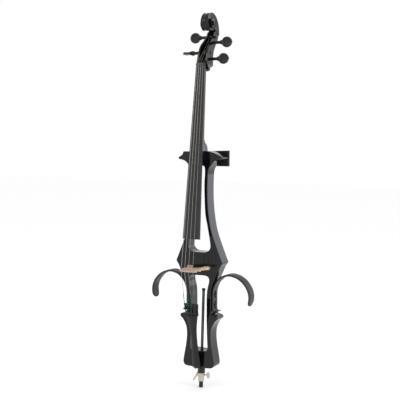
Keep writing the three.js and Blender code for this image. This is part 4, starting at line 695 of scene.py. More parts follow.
# %% Body outline and windows
side_shares = [
    (0, 0), (0.344, 0.0008), (0.527, 0.0024), (0.624, 0.0078), (0.669, 0.0188), (0.628, 0.0578),
    (0.552, 0.1075), (0.519, 0.1545), (0.557, 0.1894), (0.699, 0.2203), (0.79, 0.2304),
    (0.82, 0.2385), (0.782, 0.2459), (0.687, 0.2498), (0.584, 0.2537), (0.543, 0.2607),
    (0.534, 0.2821), (0.534, 0.3292), (0.536, 0.3695), (0.63, 0.4044), (0.768, 0.4393),
    (0.911, 0.4756), (0.985, 0.4884), (1, 0.4964), (0.96, 0.5079), (0.717, 0.5775), (0.6, 0.6127),
    (0.506, 0.6489), (0.417, 0.7054), (0.355, 0.7752), (0.346, 0.8545), (0.384, 0.9163),
    (0.493, 0.9378), (0.63, 0.9546), (0.81, 0.9622), (0.91, 0.9643), (0.947, 0.9703),
    (0.91, 0.9772), (0.756, 0.9869), (0.573, 0.9953), (0.389, 1), (0.3, 1), (0, 1),
]
upper_window_shares = [
    (0, 0.5388), (0.252, 0.5396), (0.401, 0.5468), (0.475, 0.5589), (0.481, 0.5764),
    (0.378, 0.6449), (0.258, 0.7148), (0.22, 0.7846), (0.208, 0.8545), (0.225, 0.9176),
    (0.189, 0.9331), (0.097, 0.9397), (0, 0.9405),
]
lower_window_shares = [
    (0, 0.0793), (0.252, 0.0797), (0.344, 0.0833), (0.385, 0.094), (0.378, 0.1209),
    (0.354, 0.1881), (0.342, 0.2512), (0.346, 0.3426), (0.378, 0.3762), (0.431, 0.4004),
    (0.438, 0.4152), (0.38, 0.4266), (0.252, 0.431), (0, 0.4313),
]
# The left shoulder keeps its flat top further out than the right one.
left_shoulder = [
    (0.928, 0.9725), (0.835, 0.979), (0.762, 0.9868), (0.737, 0.9935), (0.712, 0.9993), (0.66, 1),
    (0.389, 1), (0.3, 1),
]
left_shares = side_shares[:-7] + left_shoulder + side_shares[-1:]
outlines = [
    [(p.x, p.y + BODY_LOW) for p in mirrored_outline(shares, BODY_HALF, BODY_HEIGHT, 8, left)]
    for shares, left in ((side_shares, left_shares), (upper_window_shares, None),
                         (lower_window_shares, None))
]
EDGE_ROUND = 2.5
body_mesh = plate("body_board", outlines, FRONT, BACK, edge=EDGE_ROUND, edge_steps=4)
print("body outline points:", len(outlines[0]))

# %% Where the bays and bores lie
PANEL_Z, CHEST_Z = height_at(0.487), height_at(0.9709)
WAIST_SHARE, STRAP_HALF, STRAP_GAP, KNEE_DEPTH = 0.534, 1.75, 0.4, 38.0
KNEE_REACH, KNEE_RISE, KNEE_FOOT_Z = 135.8, 130.2, height_at(0.2651)
KNEE_MIDDLE = FRONT + 6.5 + KNEE_DEPTH / 2
KNEE_ROOT = BODY_HALF * WAIST_SHARE + 2 * STRAP_GAP + STRAP_HALF
knee_screw_z = [KNEE_FOOT_Z + KNEE_RISE * share for share in (0.17, 0.45)]
FOOT_OUTER, FOOT_INNER = 0.974, 0.582
PICKUP_X = BRIDGE_HALF * (FOOT_OUTER + FOOT_INNER) / 2
PICKUP_HALF, PICKUP_TALL, PICKUP_THICK = 8.0, 3.5, 2.6
ROD_X, ROD_DEPTH = 42.0, 38.0
ENDPIN_LOW = BODY_LOW / math.cos(ENDPIN_LEAN)
BAY_X, BAY_HALF, BAY_TALL, BAY_DEPTH = 20.0, 42.0, 28.0, 33.0
COVER_HALF, COVER_TALL, COVER_THICK, COVER_ROUND = 47.0, 33.0, 2.5, 5.0
CELL_X, CELL_HALF, CELL_TALL, CELL_DEEP, BOX_WALL = -48.0, 13.25, 24.25, 17.5, 1.5


CORNER_STEPS = 6


def round_corners(x0, x1, z0, z1, radius):
    """A rectangle with rounded corners, as a flat outline."""
    corners = [(x1 - radius, z0 + radius, -90), (x1 - radius, z1 - radius, 0),
               (x0 + radius, z1 - radius, 90), (x0 + radius, z0 + radius, 180)]
    found = []
    for x, z, first in corners:
        for k in range(CORNER_STEPS + 1):
            angle = math.radians(first + 90 * k / CORNER_STEPS)
            found.append((x + radius * math.cos(angle), z + radius * math.sin(angle)))
    return found


def panel_outline(x, half, tall, radius):
    """A rounded rectangle round a place at the height of the bay."""
    return round_corners(x - half, x + half, PANEL_Z - tall, PANEL_Z + tall, radius)


print("bay at", round(PANEL_Z, 1), "mm, chest rest at", round(CHEST_Z, 1), "mm above the floor")

# %% Bays, bores and screw holes
plug_place = endpin_frame @ Matrix.Translation((0, 0, ENDPIN_LOW))
plug_taper = [(0, -CUT_PAST), (12.3, -CUT_PAST), (12.3, 0), (11.1, 34.3), (0, 34.3)]
bay_outline = panel_outline(BAY_X, BAY_HALF, BAY_TALL, COVER_ROUND)
rebate_outline = panel_outline(BAY_X, COVER_HALF + SEAT_GAP, COVER_TALL + SEAT_GAP, COVER_ROUND)
rebate_floor = BACK - COVER_THICK - SEAT_GAP
cutters = [
    straight_rod("endpin_bore", 5.4, 0, 352, endpin_frame, 40),
    turned("plug_taper", plug_taper, plug_place, 40),
    plate("control_bay", [bay_outline], BACK - BAY_DEPTH, BACK + CUT_PAST),
    plate("cover_rebate", [rebate_outline], rebate_floor, BACK + CUT_PAST),
]
pocket_room = BOX_WALL + 2 * SEAT_GAP
pocket_half, pocket_tall = CELL_HALF + pocket_room, CELL_TALL + pocket_room
pocket_floor = BACK - CELL_DEEP - pocket_room - COVER_THICK - 2 * SEAT_GAP
cutters.append(block(
    "battery_pocket",
    (CELL_X - pocket_half, pocket_floor, PANEL_Z - pocket_tall),
    (CELL_X + pocket_half, BACK + CUT_PAST, PANEL_Z + pocket_tall),
))
for side in (-1, 1):
    axis = TO_X if side > 0 else TO_MINUS_X
    for z in knee_screw_z:
        place = Matrix.Translation((0, KNEE_MIDDLE, z))
        cutters.append(straight_rod("knee_screw_hole", 2.8, KNEE_ROOT - 16, 110, place, 24, axis))
    place = Matrix.Translation((side * ROD_X, BACK, CHEST_Z))
    bore_floor = -ROD_DEPTH - SEAT_GAP
    cutters.append(straight_rod("chest_rod_bore", 4.4, bore_floor, CUT_PAST, place, 32, TO_Y))
    recess_half, recess_tall = PICKUP_HALF + SEAT_GAP, PICKUP_TALL + SEAT_GAP
    recess_floor = FRONT + PICKUP_THICK + SEAT_GAP
    cutters.append(block(
        "pickup_recess",
        (side * PICKUP_X - recess_half, FRONT - CUT_PAST, BRIDGE_Z - recess_tall),
        (side * PICKUP_X + recess_half, recess_floor, BRIDGE_Z + recess_tall),
    ))
place = Matrix.Translation((PICKUP_X, FRONT + PICKUP_THICK, BRIDGE_Z))
cutters.append(straight_rod("lead_hole", 1.3, 0, BODY_DEPTH, place, 20, TO_Y))
body_mesh = carve(body_mesh, cutters)
set_in("body_shell", body_mesh, lacquer, "body", 28, flat_faces=True)

# %% [markdown]
# ## Neck and head
# The neck, its heel and the carved head are one piece of wood. The solid of the frame already has
# the spiral, so a welded copy of it is carved on: two round gouges follow the scroll's rim, and
# leave a ridge between two deep flutes. The foot of the pegbox is pared away, and a round chin
# left on it.

# %% The spiral that the gouges follow
EYE_Y, EYE_Z = FRONT + 58.4, NUT_Z + 145.2
STEP_DEGREES, FIRST_DEGREES, SCROLL_DEGREES, WAIST_DEGREES = 15, -30, 930, 120
OUTER_SWELL, SWELL_FADES, RIM_RADIUS, RIM_FALL = 39, 108, 27.5, 19.5
WAIST_HALF, BACK_FLARE, EYE_FLARE = 12.3, 2.9, 12.2
GOUGE_RADIUS, GOUGE_ACROSS, GOUGE_SINK = 3.5, 0.52, 0.2


def on_scroll(step, across, sink):
    """A place on the scroll's rim: 24 steps make a turn, across is a share of the half width."""
    turned_by = STEP_DEGREES * step
    angle = math.radians(turned_by + FIRST_DEGREES)
    fall = RIM_FALL * turned_by / SCROLL_DEGREES
    radius = OUTER_SWELL * math.exp(-turned_by / SWELL_FADES) + RIM_RADIUS - fall - sink
    half = WAIST_HALF + BACK_FLARE * max(1 - turned_by / WAIST_DEGREES, 0) ** 2
    outwards = 90 * max(turned_by - WAIST_DEGREES, 0) / (SCROLL_DEGREES - WAIST_DEGREES)
    half += EYE_FLARE * math.sin(math.radians(outwards))
    y, z = EYE_Y + radius * math.cos(angle), EYE_Z + radius * math.sin(angle)
    return Vector((across * half, y, z))


gouges = []
for hand in (-GOUGE_ACROSS, GOUGE_ACROSS):
    furrow = [on_scroll(k / 2, hand, GOUGE_SINK) for k in range(-1, 42)]
    gouges.append(tube("gouge", furrow, GOUGE_RADIUS, lacquer, 20))
print("scroll from", tuple(round(v, 1) for v in on_scroll(0, 0, 0)), "mm round", round(EYE_Z, 1))

# %% Neck and head
CHIN_Y, CHIN_Z, CHIN_SIZE = FRONT + 52.5, NUT_Z - 7.5, (11.5, 13, 9, 1)
half_turn = [math.radians(a) for a in range(-90, 91, 10)]
chin = turned("chin", [(math.cos(a), math.sin(a)) for a in half_turn], None, 32)
chin.transform(Matrix.Translation((0, CHIN_Y * MM, CHIN_Z * MM)) @ Matrix.Diagonal(CHIN_SIZE))
under = [(29.5, -6.6), (36.2, -5.5), (46.7, -3.3), (55.5, 0.4), (59, 4), (75, 4),
         (75, -30), (29.5, -30)]
paring = loft("paring", [[(x, FRONT + y, NUT_Z + z) for y, z in under] for x in (-30, 30)])
neck_mesh = carve(copy_of("neck", "neck_and_scroll"), [paring] + gouges)
neck_mesh = carve(neck_mesh, [chin], "UNION")
set_in("neck_and_scroll", neck_mesh, lacquer, "neck", 34)

# %% [markdown]
# ## Fingerboard and nut
# A fingerboard is arched across and hollow along its free underside, so it is a loft: the same
# section, repeated along the leaning frame, grows wider towards the bridge.

# %% Fingerboard
BOARD_THICK, BOARD_HOLLOW, HEEL_DROP = 6.5, 3.2, 28.0


def board_crown(x, half):
    """How far the arched top stands in front of its own edges, as a negative depth."""
    return -(arc_drop(BOARD_RADIUS, half) - arc_drop(BOARD_RADIUS, x))


def board_section(half, z, rise, edge, hollow, soften=0.9):
    """One arched section with rounded long edges."""
    points = [(half, edge - soften)] + [(half, board_crown(half, half) - rise + soften)]
    for k in range(25):
        x = (half - soften * 0.6) * (1 - k / 12)
        points.append((x, board_crown(x, half) - rise))
    points += [(-half, board_crown(half, half) - rise + soften), (-half, edge - soften)]
    for k in range(13):
        share = k / 6 - 1
        points.append((share * (half - soften * 0.6), edge - hollow * (1 - share * share)))
    return [(x, y, z) for x, y in points]


root_down = (NUT_Z - (BODY_LOW + BODY_HEIGHT) + HEEL_DROP) / math.cos(BOARD_TILT)
stations = [(down, 0) for down in (0, 0.4, root_down / 2, root_down + 7)]
free_part = (root_down + 14, (root_down + BOARD_LENGTH) / 2, BOARD_LENGTH - 0.4, BOARD_LENGTH)
stations += [(down, BOARD_HOLLOW) for down in free_part]
rings = []
for index, (down, hollow) in enumerate(stations):
    half = NUT_HALF + (BOARD_HALF - NUT_HALF) * down / BOARD_LENGTH
    shrink = 0.3 if index in (0, len(stations) - 1) else 0
    rings.append(board_section(half - shrink, -down, -shrink, BOARD_THICK - shrink, hollow))
board_mesh = loft("fingerboard_arched", rings, neck_frame)
set_in("fingerboard_arched", board_mesh, ebony, "fingerboard", 40, flat_faces=True)

# %% [markdown]
# ## Strings
# Each string runs from its ball in the fine tuner over the bridge and the nut, then round its peg.
# Curve points could be set by hand, but they would leave the peg, the nut or the bridge as soon as
# one of these moved. So the path is worked out from the same few sizes as the frame's, with many
# more points where it curves, and the tube tree sweeps it.

# %% Sizes of the strings and places of the pegs
string_share = {"c": -1, "g": -1 / 3, "d": 1 / 3, "a": 1}
string_radius = {"c": 0.8, "g": 0.65, "d": 0.5, "a": 0.4}
peg_places = {
    "a": {"side": 1, "up": 23.8, "back": 40.0, "wind": 0.62, "face": 0, "reach": 48.7},
    "c": {"side": -1, "up": 46.0, "back": 43.5, "wind": -0.72, "face": 90, "reach": 47.3},
    "d": {"side": 1, "up": 82.4, "back": 70.0, "wind": 0.22, "face": 0, "reach": 46.8},
    "g": {"side": -1, "up": 103.0, "back": 84.5, "wind": -0.22, "face": 0, "reach": 41.4},
}
PEG_RADIUS, WIND_TURNS, WIND_STEPS, WIND_GAP = 5.2, 3, 40, 0.6
NUT_SPREAD, NUT_DEEP, BRIDGE_SPREAD, TAIL_SPREAD, BALL_RADIUS = 11, 8, 21.8, 19.5, 2.4
BRIDGE_THIN, STRING_LIFT, HOOK_BAR = 1.5, 4, 3
TUNER_Z, SLOT_LENGTH = 214.0, 19.0
print("pegs stand", [peg["up"] for peg in peg_places.values()], "mm above the nut")


# %% String paths
def bridge_top(x):
    """The crown of the bridge at x, as a negative depth in front of its feet."""
    return -(BRIDGE_HEIGHT - arc_drop(BRIDGE_CROWN, x))


def string_path(name):
    """The windings on the peg, and the run from the nut over the bridge to the fine tuner."""
    radius, share, peg = string_radius[name], string_share[name], peg_places[name]
    centre = Vector((0, FRONT + peg["back"], NUT_Z + peg["up"]))
    nut_x = share * NUT_SPREAD
    nut_top = board_crown(nut_x, NUT_HALF) - NUT_RISE
    nut_high = neck_frame @ Vector((nut_x, nut_top, NUT_DEEP))
    nut_low = neck_frame @ Vector((nut_x, nut_top, 0))
    bridge_x = share * BRIDGE_SPREAD
    top = bridge_top(bridge_x) + radius / 2
    bridge_high = bridge_frame @ Vector((bridge_x, top, BRIDGE_THIN))
    bridge_low = bridge_frame @ Vector((bridge_x, top, -BRIDGE_THIN))
    hook_z = TUNER_Z + SLOT_LENGTH / 2 - HOOK_BAR - SEAT_GAP - BALL_RADIUS
    hook = tail_frame @ Vector((share * TAIL_SPREAD, -TAIL_CROWN - STRING_LIFT, hook_z))
    ride = PEG_RADIUS + radius + 0.4
    to_nut = Vector((nut_high.y - centre.y, nut_high.z - centre.z))
    leave = math.atan2(to_nut.y, to_nut.x) - math.acos(ride / to_nut.length)
    sense = -1 if -math.sin(leave) * to_nut.x + math.cos(leave) * to_nut.y > 0 else 1
    pitch, count = 2 * radius + WIND_GAP, WIND_TURNS * WIND_STEPS
    inward = -1 if share > 0 else 1
    winding = []
    for k in range(count + 1):
        back = 1 - k / count
        angle = leave + back * WIND_TURNS * 2 * math.pi * sense
        x = peg["wind"] * NUT_SPREAD + inward * back * WIND_TURNS * pitch
        y, z = centre.y + ride * math.cos(angle), centre.z + ride * math.sin(angle)
        winding.append(Vector((x, y, z)))
    return winding, [nut_high, nut_low, bridge_high, bridge_low, hook]


paths = {name: string_path(name) for name in string_share}
for name, (winding, run) in paths.items():
    path = winding + run
    print("string", name, round(sum((q - p).length for p, q in zip(path, path[1:]))), "mm long")

# %% Strings, balls and silk
silk = finish("green_silk", (0.004, 0.085, 0.055), 0.6, Specular_IOR_Level=0.25)
into_bump(silk, noise_on(silk, (300, 300, 5000), 1.0), 0.2, 0.00004)
olive_silk = finish("olive_silk", (0.045, 0.05, 0.022), 0.6, Sheen_Weight=0.3)
into_bump(olive_silk, noise_on(olive_silk, (300, 3000, 3000), 1.0), 0.2, 0.00004)
ball_profile = [(BALL_RADIUS * math.cos(0.4 * k), BALL_RADIUS * math.sin(0.4 * k))
                for k in range(-3, 4)]
ball_profile = [(0, -BALL_RADIUS)] + ball_profile + [(0, BALL_RADIUS)]
for name, (winding, run) in paths.items():
    radius = string_radius[name]
    string_mesh = tube("string", winding + run, radius, wound_string, 14)
    ball = turned("ball", ball_profile, Matrix.Translation(run[-1]), 24, TO_X)
    set_in("playing_string_" + name, string_mesh, wound_string, "string_" + name, 60)
    set_in("string_ball_" + name, ball, black_metal, "tuner_lever_" + name, 60, hide=False)
    along = (run[-2] - run[-1]).normalized()
    wrap = tube("silk", [run[-1] + along * 3, run[-1] + along * 56], radius + 0.35, silk, 14)
    set_in("silk_wrap_" + name, wrap, silk, "string_" + name, 60, hide=False)
    wound = tube("silk", winding[WIND_STEPS:] + [run[0]], radius + 0.15, olive_silk, 12)
    set_in("peg_silk_" + name, wound, olive_silk, "string_" + name, 60, hide=False)

# %% Nut with its string grooves
def string_grooves(swell):
    """Cutters that follow the strings, wider than them by the swell all round."""
    return [tube("groove", paths[name][1], string_radius[name] + swell, ebony, 16)
            for name in paths]


nut_rings = [board_section(NUT_HALF - inset, z, NUT_RISE - inset, BOARD_THICK, 0, 0.6)
             for z, inset in ((NUT_DEEP, 0.5), (NUT_DEEP - 0.5, 0), (0.8, 0), (0.3, 0.5))]
nut_mesh = carve(loft("nut_grooved", nut_rings, neck_frame), string_grooves(0.35))
set_in("nut_grooved", nut_mesh, ebony, "nut", 40)

# %% [markdown]
# ## Bridge
# A cello bridge is a thin maple plate, thicker at the feet than at the crown, pierced by a heart
# and cut at the sides by two kidneys. The outline is extruded in full thickness, and a wedge of
# the same height is kept from it: the face towards the tailpiece stays almost square to the body,
# and the other one slopes, as a plane would leave it.

# %% Bridge
bridge_side_shares = [
    (0, 1), (0.168, 0.996), (0.525, 0.961), (0.68, 0.928), (0.752, 0.89), (0.76, 0.835),
    (0.72, 0.779), (0.58, 0.753), (0.473, 0.703), (0.495, 0.648), (0.604, 0.632), (0.736, 0.659),
    (0.813, 0.632), (0.824, 0.571), (0.747, 0.522), (0.659, 0.495), (0.633, 0.451), (0.681, 0.374),
    (0.769, 0.275), (0.868, 0.154), (0.978, 0.088), (1, 0.055), (1, 0.013), (0.974, 0),
    (0.582, 0), (0.554, 0.013), (0.556, 0.055), (0.549, 0.11), (0.495, 0.22), (0.374, 0.319),
    (0.198, 0.379), (0, 0.396),
]
heart_shares = [(0, 0.643), (0.066, 0.67), (0.143, 0.665), (0.165, 0.621),
                (0.11, 0.555), (0, 0.489)]
# The plate is drawn standing in X and Z, then laid so that its height runs out from the body.
lay = bridge_frame @ Matrix.Rotation(math.radians(90), 4, "X")
BRIDGE_FORM, FOOT_DEEP, CROWN_UPPER, CROWN_LOWER = BRIDGE_HALF - 4, 5.5, -1.0, -4.5
outline, heart = ([tuple(p) for p in mirrored_outline(shares, BRIDGE_FORM, BRIDGE_HEIGHT, 8)]
                  for shares in (bridge_side_shares, heart_shares))
bridge_mesh = plate("bridge_plate", [outline, heart], -FOOT_DEEP, FOOT_DEEP, place=lay)
crown, past_crown, under_feet = -BRIDGE_HEIGHT, -BRIDGE_HEIGHT - CUT_PAST, 0.4
wedge_side = [(under_feet, FOOT_DEEP), (crown, CROWN_UPPER), (past_crown, CROWN_UPPER)]
wedge_side += [(past_crown, CROWN_LOWER), (crown, CROWN_LOWER), (under_feet, -FOOT_DEEP)]
wedge = loft("wedge", [[(x, y, z) for y, z in wedge_side] for x in (-60, 60)], bridge_frame)
bridge_mesh = carve(bridge_mesh, [wedge], "INTERSECT")
bridge_mesh = carve(bridge_mesh, string_grooves(0.3))
set_in("bridge_carved", bridge_mesh, maple, "bridge", 30)

# %% [markdown]
# ## A tree for copies in turn
# Knurls, ribs and screws repeat. One tree makes copies of a small piece, each moved on by one step
# and turned by one angle, so the same tree serves a ring of knurls and a row of ribs.

# %% Geometry Nodes: copies in turn
copy_tree, start, end = new_tree(
    "copies_in_turn",
    [("Count", "Int", 8), ("Step", "Vector", None), ("Turn", "Float", 0.0),
     ("Finish", "Material", None)],
)
line = copy_tree.nodes.new("GeometryNodeMeshLine")
index = copy_tree.nodes.new("GeometryNodeInputIndex")
times = copy_tree.nodes.new("ShaderNodeMath")
times.operation = "MULTIPLY"
about_z = copy_tree.nodes.new("ShaderNodeCombineXYZ")
rotation = copy_tree.nodes.new("FunctionNodeEulerToRotation")
instances = copy_tree.nodes.new("GeometryNodeInstanceOnPoints")
for source, target in (
    (start.outputs["Count"], line.inputs["Count"]),
    (start.outputs["Step"], line.inputs["Offset"]),
    (index.outputs["Index"], times.inputs[0]),
    (start.outputs["Turn"], times.inputs[1]),
    (times.outputs["Value"], about_z.inputs["Z"]),
    (about_z.outputs["Vector"], rotation.inputs["Euler"]),
    (line.outputs["Mesh"], instances.inputs["Points"]),
    (start.outputs["Geometry"], instances.inputs["Instance"]),
    (rotation.outputs["Rotation"], instances.inputs["Rotation"]),
):
    copy_tree.links.new(source, target)
close_tree(copy_tree, start, end, instances.outputs["Instances"])


def copies(name, mesh, count, material, step=(0, 0, 0), turn=0.0, place=None):
    """Copies of a mesh in a row or a ring about Z, made by the tree, then put in place."""
    thing = bpy.data.objects.new(name, mesh)
    bpy.context.scene.collection.objects.link(thing)
    stride = tuple(value * MM for value in step)
    made = grown(thing, copy_tree, Count=count, Step=stride, Turn=turn, Finish=material)
    made.name = name
    if place:
        shift = Matrix.Translation(place.translation * MM) @ place.to_3x3().to_4x4()
        made.transform(shift)
    return made


print("tree:", copy_tree.name, "nodes:", len(copy_tree.nodes))


# %% Knurls, eased corners and shapes along X
def knurls(count, radius, low, high, size, material, place, axis):
    """A ring of half-round ribs along a turned head."""
    rib = turned("rib", softened([(0, low), (size, low), (size, high), (0, high)], size * 0.8),
                 None, 8)
    rib.transform(Matrix.Translation((radius * MM, 0, 0)))
    return copies("knurls", rib, count, material, turn=2 * math.pi / count, place=place @ axis)


def eased(outline, radius):
    """A closed outline with every corner rounded."""
    return softened([outline[-1]] + list(outline) + [outline[0]], radius)[1:-1]


def extruded_along_x(name, outline, low, high, edge=0.0, place=TO_Z):
    """An outline in Y and Z that reaches along X from low to high."""
    return plate(name, [outline], -high, -low, edge,
                 place @ Matrix.Rotation(math.radians(90), 4, "Z"))


print("trees:", [tree.name for tree in bpy.data.node_groups])

# %% [markdown]
# ## Pegs
# A peg is turned in one piece: a tapered shaft that grips the pegbox, a bulging collar, and a flat
# thumb piece with dished faces. Sections along the peg change from round to flat, so the whole peg
# is one loft, and a small turned button closes its end.

# %% Pegs
PEGBOX_HALF, HEAD_RADIUS = 20.6, 18.4


def peg_ring(x, wide, thick, flat):
    """A section of the peg: round where flat is 0, a dished lens-like slab where it is 1."""
    ring = []
    power, dish = 2 + 4 * flat, 0.34 * flat
    for k in range(40):
        angle = 2 * math.pi * k / 40
        u = math.cos(angle)
        y = thick * max(1 - abs(u) ** power, 0) ** (1 / power) * (1 - dish * (1 - u * u))
        ring.append((x, math.copysign(y, math.sin(angle)) if k % 20 else 0, wide * u))
    return ring


def peg_mesh(peg):
    """A whole peg at its place: base is where the collar passes into the thumb piece."""
    head_x = PEGBOX_HALF * 0.93 + peg["reach"]
    base = head_x - HEAD_RADIUS + 2
    shaft = [(-20.6, 3.9), (-20.2, 4.3), (0, 5.1)]
    bulge = [(-9, 5.2), (-7.4, 5.9), (-5.4, 7.2), (-3, 8.1), (-0.5, 8.5), (1.5, 8.3)]
    shaft += [(base + along, radius) for along, radius in bulge]
    rings = [peg_ring(x, radius, radius, 0) for x, radius in shaft]
    thumb_piece = [
        (3.2, 7.2, 0.3), (5, 5.2, 0.6), (8, 4, 0.9), (13, 3.7, 1), (19, 4, 1), (25, 4.7, 1),
        (29, 5.2, 1), (32, 5.3, 1), (33.6, 5, 1), (34.2, 4.2, 1),
    ]
    for along, thick, flat in thumb_piece:
        x = base + along
        wide = math.sqrt(max(HEAD_RADIUS ** 2 - (x - head_x) ** 2, 9))
        rings.append(peg_ring(x, wide, thick, flat))
    button = [(0, 15), (3.4, 15), (3.4, 19), (1.8, 20.6), (0, 20.6)]
    button = softened([(radius, head_x + along) for radius, along in button], 1)
    place = Matrix.Translation((0, FRONT + peg["back"], NUT_Z + peg["up"]))
    place = place @ Matrix.Rotation(math.radians(peg["face"]), 4, "X")
    if peg["side"] < 0:
        place = place @ Matrix.Rotation(math.pi, 4, "Z")
    return joined("peg", [loft("peg", rings, place), turned("button", button, place, 24, TO_X)])


for name, peg in peg_places.items():
    set_in("turned_peg_" + name, peg_mesh(peg), dark_ebony, "peg_" + name, 50)

# %% [markdown]
# ## Tailpiece and fine tuners
# The tailpiece is arched across and waisted along its length, so it is a loft whose half width
# follows a measured curve. Each fine tuner is a bent lever in a slot. A knurled screw above pushes
# the lever's long arm, and the short arm pulls the string.

# %% Tailpiece
tail_shares = [
    (0.5, 0), (0.53, 0.03), (0.525, 0.12), (0.47, 0.22), (0.415, 0.34), (0.405, 0.45), (0.45, 0.58),
    (0.63, 0.73), (0.86, 0.87), (0.985, 0.97), (1, 1),
]
SCREW_Z, SLOT_HALF, SCREW_HOLE = TUNER_Z - 21.0, 2.6, 2.1


def tail_section(share_x, z, shrink=0.0):
    """One arched section, whose half width is a share of the widest."""
    half = share_x * TAIL_HALF - shrink
    crown = TAIL_CROWN * min(1, 0.45 + 0.556 * share_x) - shrink
    points = [(half * (1 - k / 12), -crown * (1 - (1 - k / 12) ** 2) - 0.7, z) for k in range(25)]
    points += [(-half, 1.2, z), (-half * 0.96, 2.6, z), (-half * 0.88, TAIL_EDGE - shrink, z)]
    return points + [(half * 0.88, TAIL_EDGE - shrink, z), (half * 0.96, 2.6, z), (half, 1.2, z)]


tail_curve = smooth_path([Vector((x, z)) for x, z in tail_shares], 6)
rings = [tail_section(tail_curve[0].x, 0, 0.9)]
rings += [tail_section(p.x, min(max(p.y * TAIL_LENGTH, 0.8), TAIL_LENGTH - 0.8))
          for p in tail_curve]
rings.append(tail_section(1, TAIL_LENGTH, 0.9))
tail_mesh = loft("tailpiece_arched", rings, tail_frame)
cutters = [block("cord_groove", (-9.4, 0.2, -6), (9.4, 10, 22), tail_frame)]
for share in string_share.values():
    x = share * TAIL_SPREAD
    slot_low, slot_high = TUNER_Z - SLOT_LENGTH / 2, TUNER_Z + SLOT_LENGTH / 2
    slot = round_corners(x - SLOT_HALF, x + SLOT_HALF, slot_low, slot_high, 2.4)
    cutters.append(plate("slot", [slot], -16, 10, place=tail_frame))
    place = tail_frame @ Matrix.Translation((x, 0, SCREW_Z))
    cutters.append(straight_rod("screw_hole", SCREW_HOLE, -16, 10, place, 24, TO_Y))
tail_mesh = carve(tail_mesh, cutters)
set_in("tailpiece_arched", tail_mesh, dark_ebony, "tailpiece", 35, flat_faces=True)

# %% Levers and knurled screws
ARM_TOP = TAIL_EDGE + SEAT_GAP
HOOK_HIGH, HOOK_TOP = TUNER_Z + SLOT_LENGTH / 2 - 0.4, -TAIL_CROWN - 2 * STRING_LIFT
LEVER_THICK, LEVER_HALF, FORK_HALF = 3, 2.1, 1.1
lever_outline = [
    (ARM_TOP, TUNER_Z - 24), (ARM_TOP + LEVER_THICK, TUNER_Z - 24),
    (ARM_TOP + LEVER_THICK, HOOK_HIGH), (HOOK_TOP, HOOK_HIGH), (HOOK_TOP, HOOK_HIGH - HOOK_BAR),
    (ARM_TOP, HOOK_HIGH - 1.6 * HOOK_BAR),
]
HEAD_LOW, SCREW_TIP = -TAIL_CROWN - 2.2, ARM_TOP - 0.4
screw_profile = [
    (0, HEAD_LOW - 4.5), (2.5, HEAD_LOW - 4.5), (2.85, HEAD_LOW - 3.9), (2.85, HEAD_LOW - 0.9),
    (2.1, HEAD_LOW), (1.7, HEAD_LOW), (1.7, SCREW_TIP), (0, SCREW_TIP),
]
for name, share in string_share.items():
    x = share * TAIL_SPREAD
    low, high = x - LEVER_HALF, x + LEVER_HALF
    arm = extruded_along_x("lever", eased(lever_outline, 1.6), low, high, 0.4, tail_frame)
    fork_low = (x - FORK_HALF, HOOK_TOP - CUT_PAST, HOOK_HIGH - 6)
    fork_high = (x + FORK_HALF, -TAIL_CROWN + SEAT_GAP, HOOK_HIGH + CUT_PAST)
    arm = carve(arm, [block("fork", fork_low, fork_high, tail_frame)])
    set_in("fine_tuner_lever_" + name, arm, black_metal, "tuner_lever_" + name, 35)
    place = tail_frame @ Matrix.Translation((x, 0, SCREW_Z))
    screw = turned("screw", softened(screw_profile, 0.4), place, 32, TO_Y)
    ring = knurls(18, 2.72, HEAD_LOW - 3.9, HEAD_LOW - 0.9, 0.3, black_metal, place, TO_Y)
    set_in("fine_tuner_screw_" + name, joined("screw", [screw, ring]), black_metal,
           "tuner_screw_" + name, 40)

# %% [markdown]
# ## Tail cord and saddle
# The cord is one loop. It leaves the tailpiece's groove on both sides, crosses the saddle and
# passes behind the endpin's plug. The same tree that sweeps the strings sweeps it along a smooth
# path.

# %% Tail cord and saddle
CORD_RADIUS, CORD_SPREAD, PLUG_LOOP = 1.6, 7.5, 12.8
cord_in = tail_frame @ Vector((0, TAIL_EDGE - CORD_RADIUS, 20))
cord_out = tail_frame @ Vector((0, TAIL_EDGE - CORD_RADIUS, -3))
cord_z = BODY_LOW - 2 - CORD_RADIUS
plug_y = math.tan(ENDPIN_LEAN) * (BODY_LOW - 2)
lead_in = [Vector((-CORD_SPREAD, end.y, end.z)) for end in (cord_in, cord_out)]
lead_in.append(Vector((-CORD_SPREAD, FRONT - CORD_RADIUS, cord_z)))
lead_in.append(Vector((-CORD_SPREAD - CORD_RADIUS, FRONT + 2 * CORD_RADIUS, cord_z)))
loop = []
for k in range(11):
    angle = math.radians(190 - 20 * k)
    loop.append(Vector((math.cos(angle) * PLUG_LOOP, plug_y + math.sin(angle) * PLUG_LOOP, cord_z)))
lead_out = [Vector((-p.x, p.y, p.z)) for p in reversed(lead_in)]
cord_path = smooth_path(lead_in + loop + lead_out, 5)
cord_mesh = tube("cord", cord_path, CORD_RADIUS, plastic, 16)
print("cord", round(sum((q - p).length for p, q in zip(cord_path, cord_path[1:]))), "mm long")
set_in("tail_cord_loop", cord_mesh, plastic, "tail_cord", 60)

saddle_outline = [
    (FRONT - SEAT_GAP, BODY_LOW + 2.5), (FRONT - 3.5, BODY_LOW + 4.25),
    (FRONT - 3.5, BODY_LOW + 7), (FRONT - SEAT_GAP, BODY_LOW + 8.75),
]
saddle_mesh = extruded_along_x("saddle", eased(saddle_outline, 1.1), -13, 13, 0.6)
set_in("saddle_rounded", saddle_mesh, dark_ebony, "saddle", 40)

# %% [markdown]
# ## Endpin
# Everything on the endpin is turned work on one leaning axis: the plug that sits in the body, the
# nickel collar that clamps the rod, the rod with its cap, the spike, and the rubber foot that
# covers it. Cylinders and cones could be stacked for these, but one turned profile keeps every
# step and groove of a piece in a single list. The wing screw and the flat lever are the two clamps
# that are worked by hand.

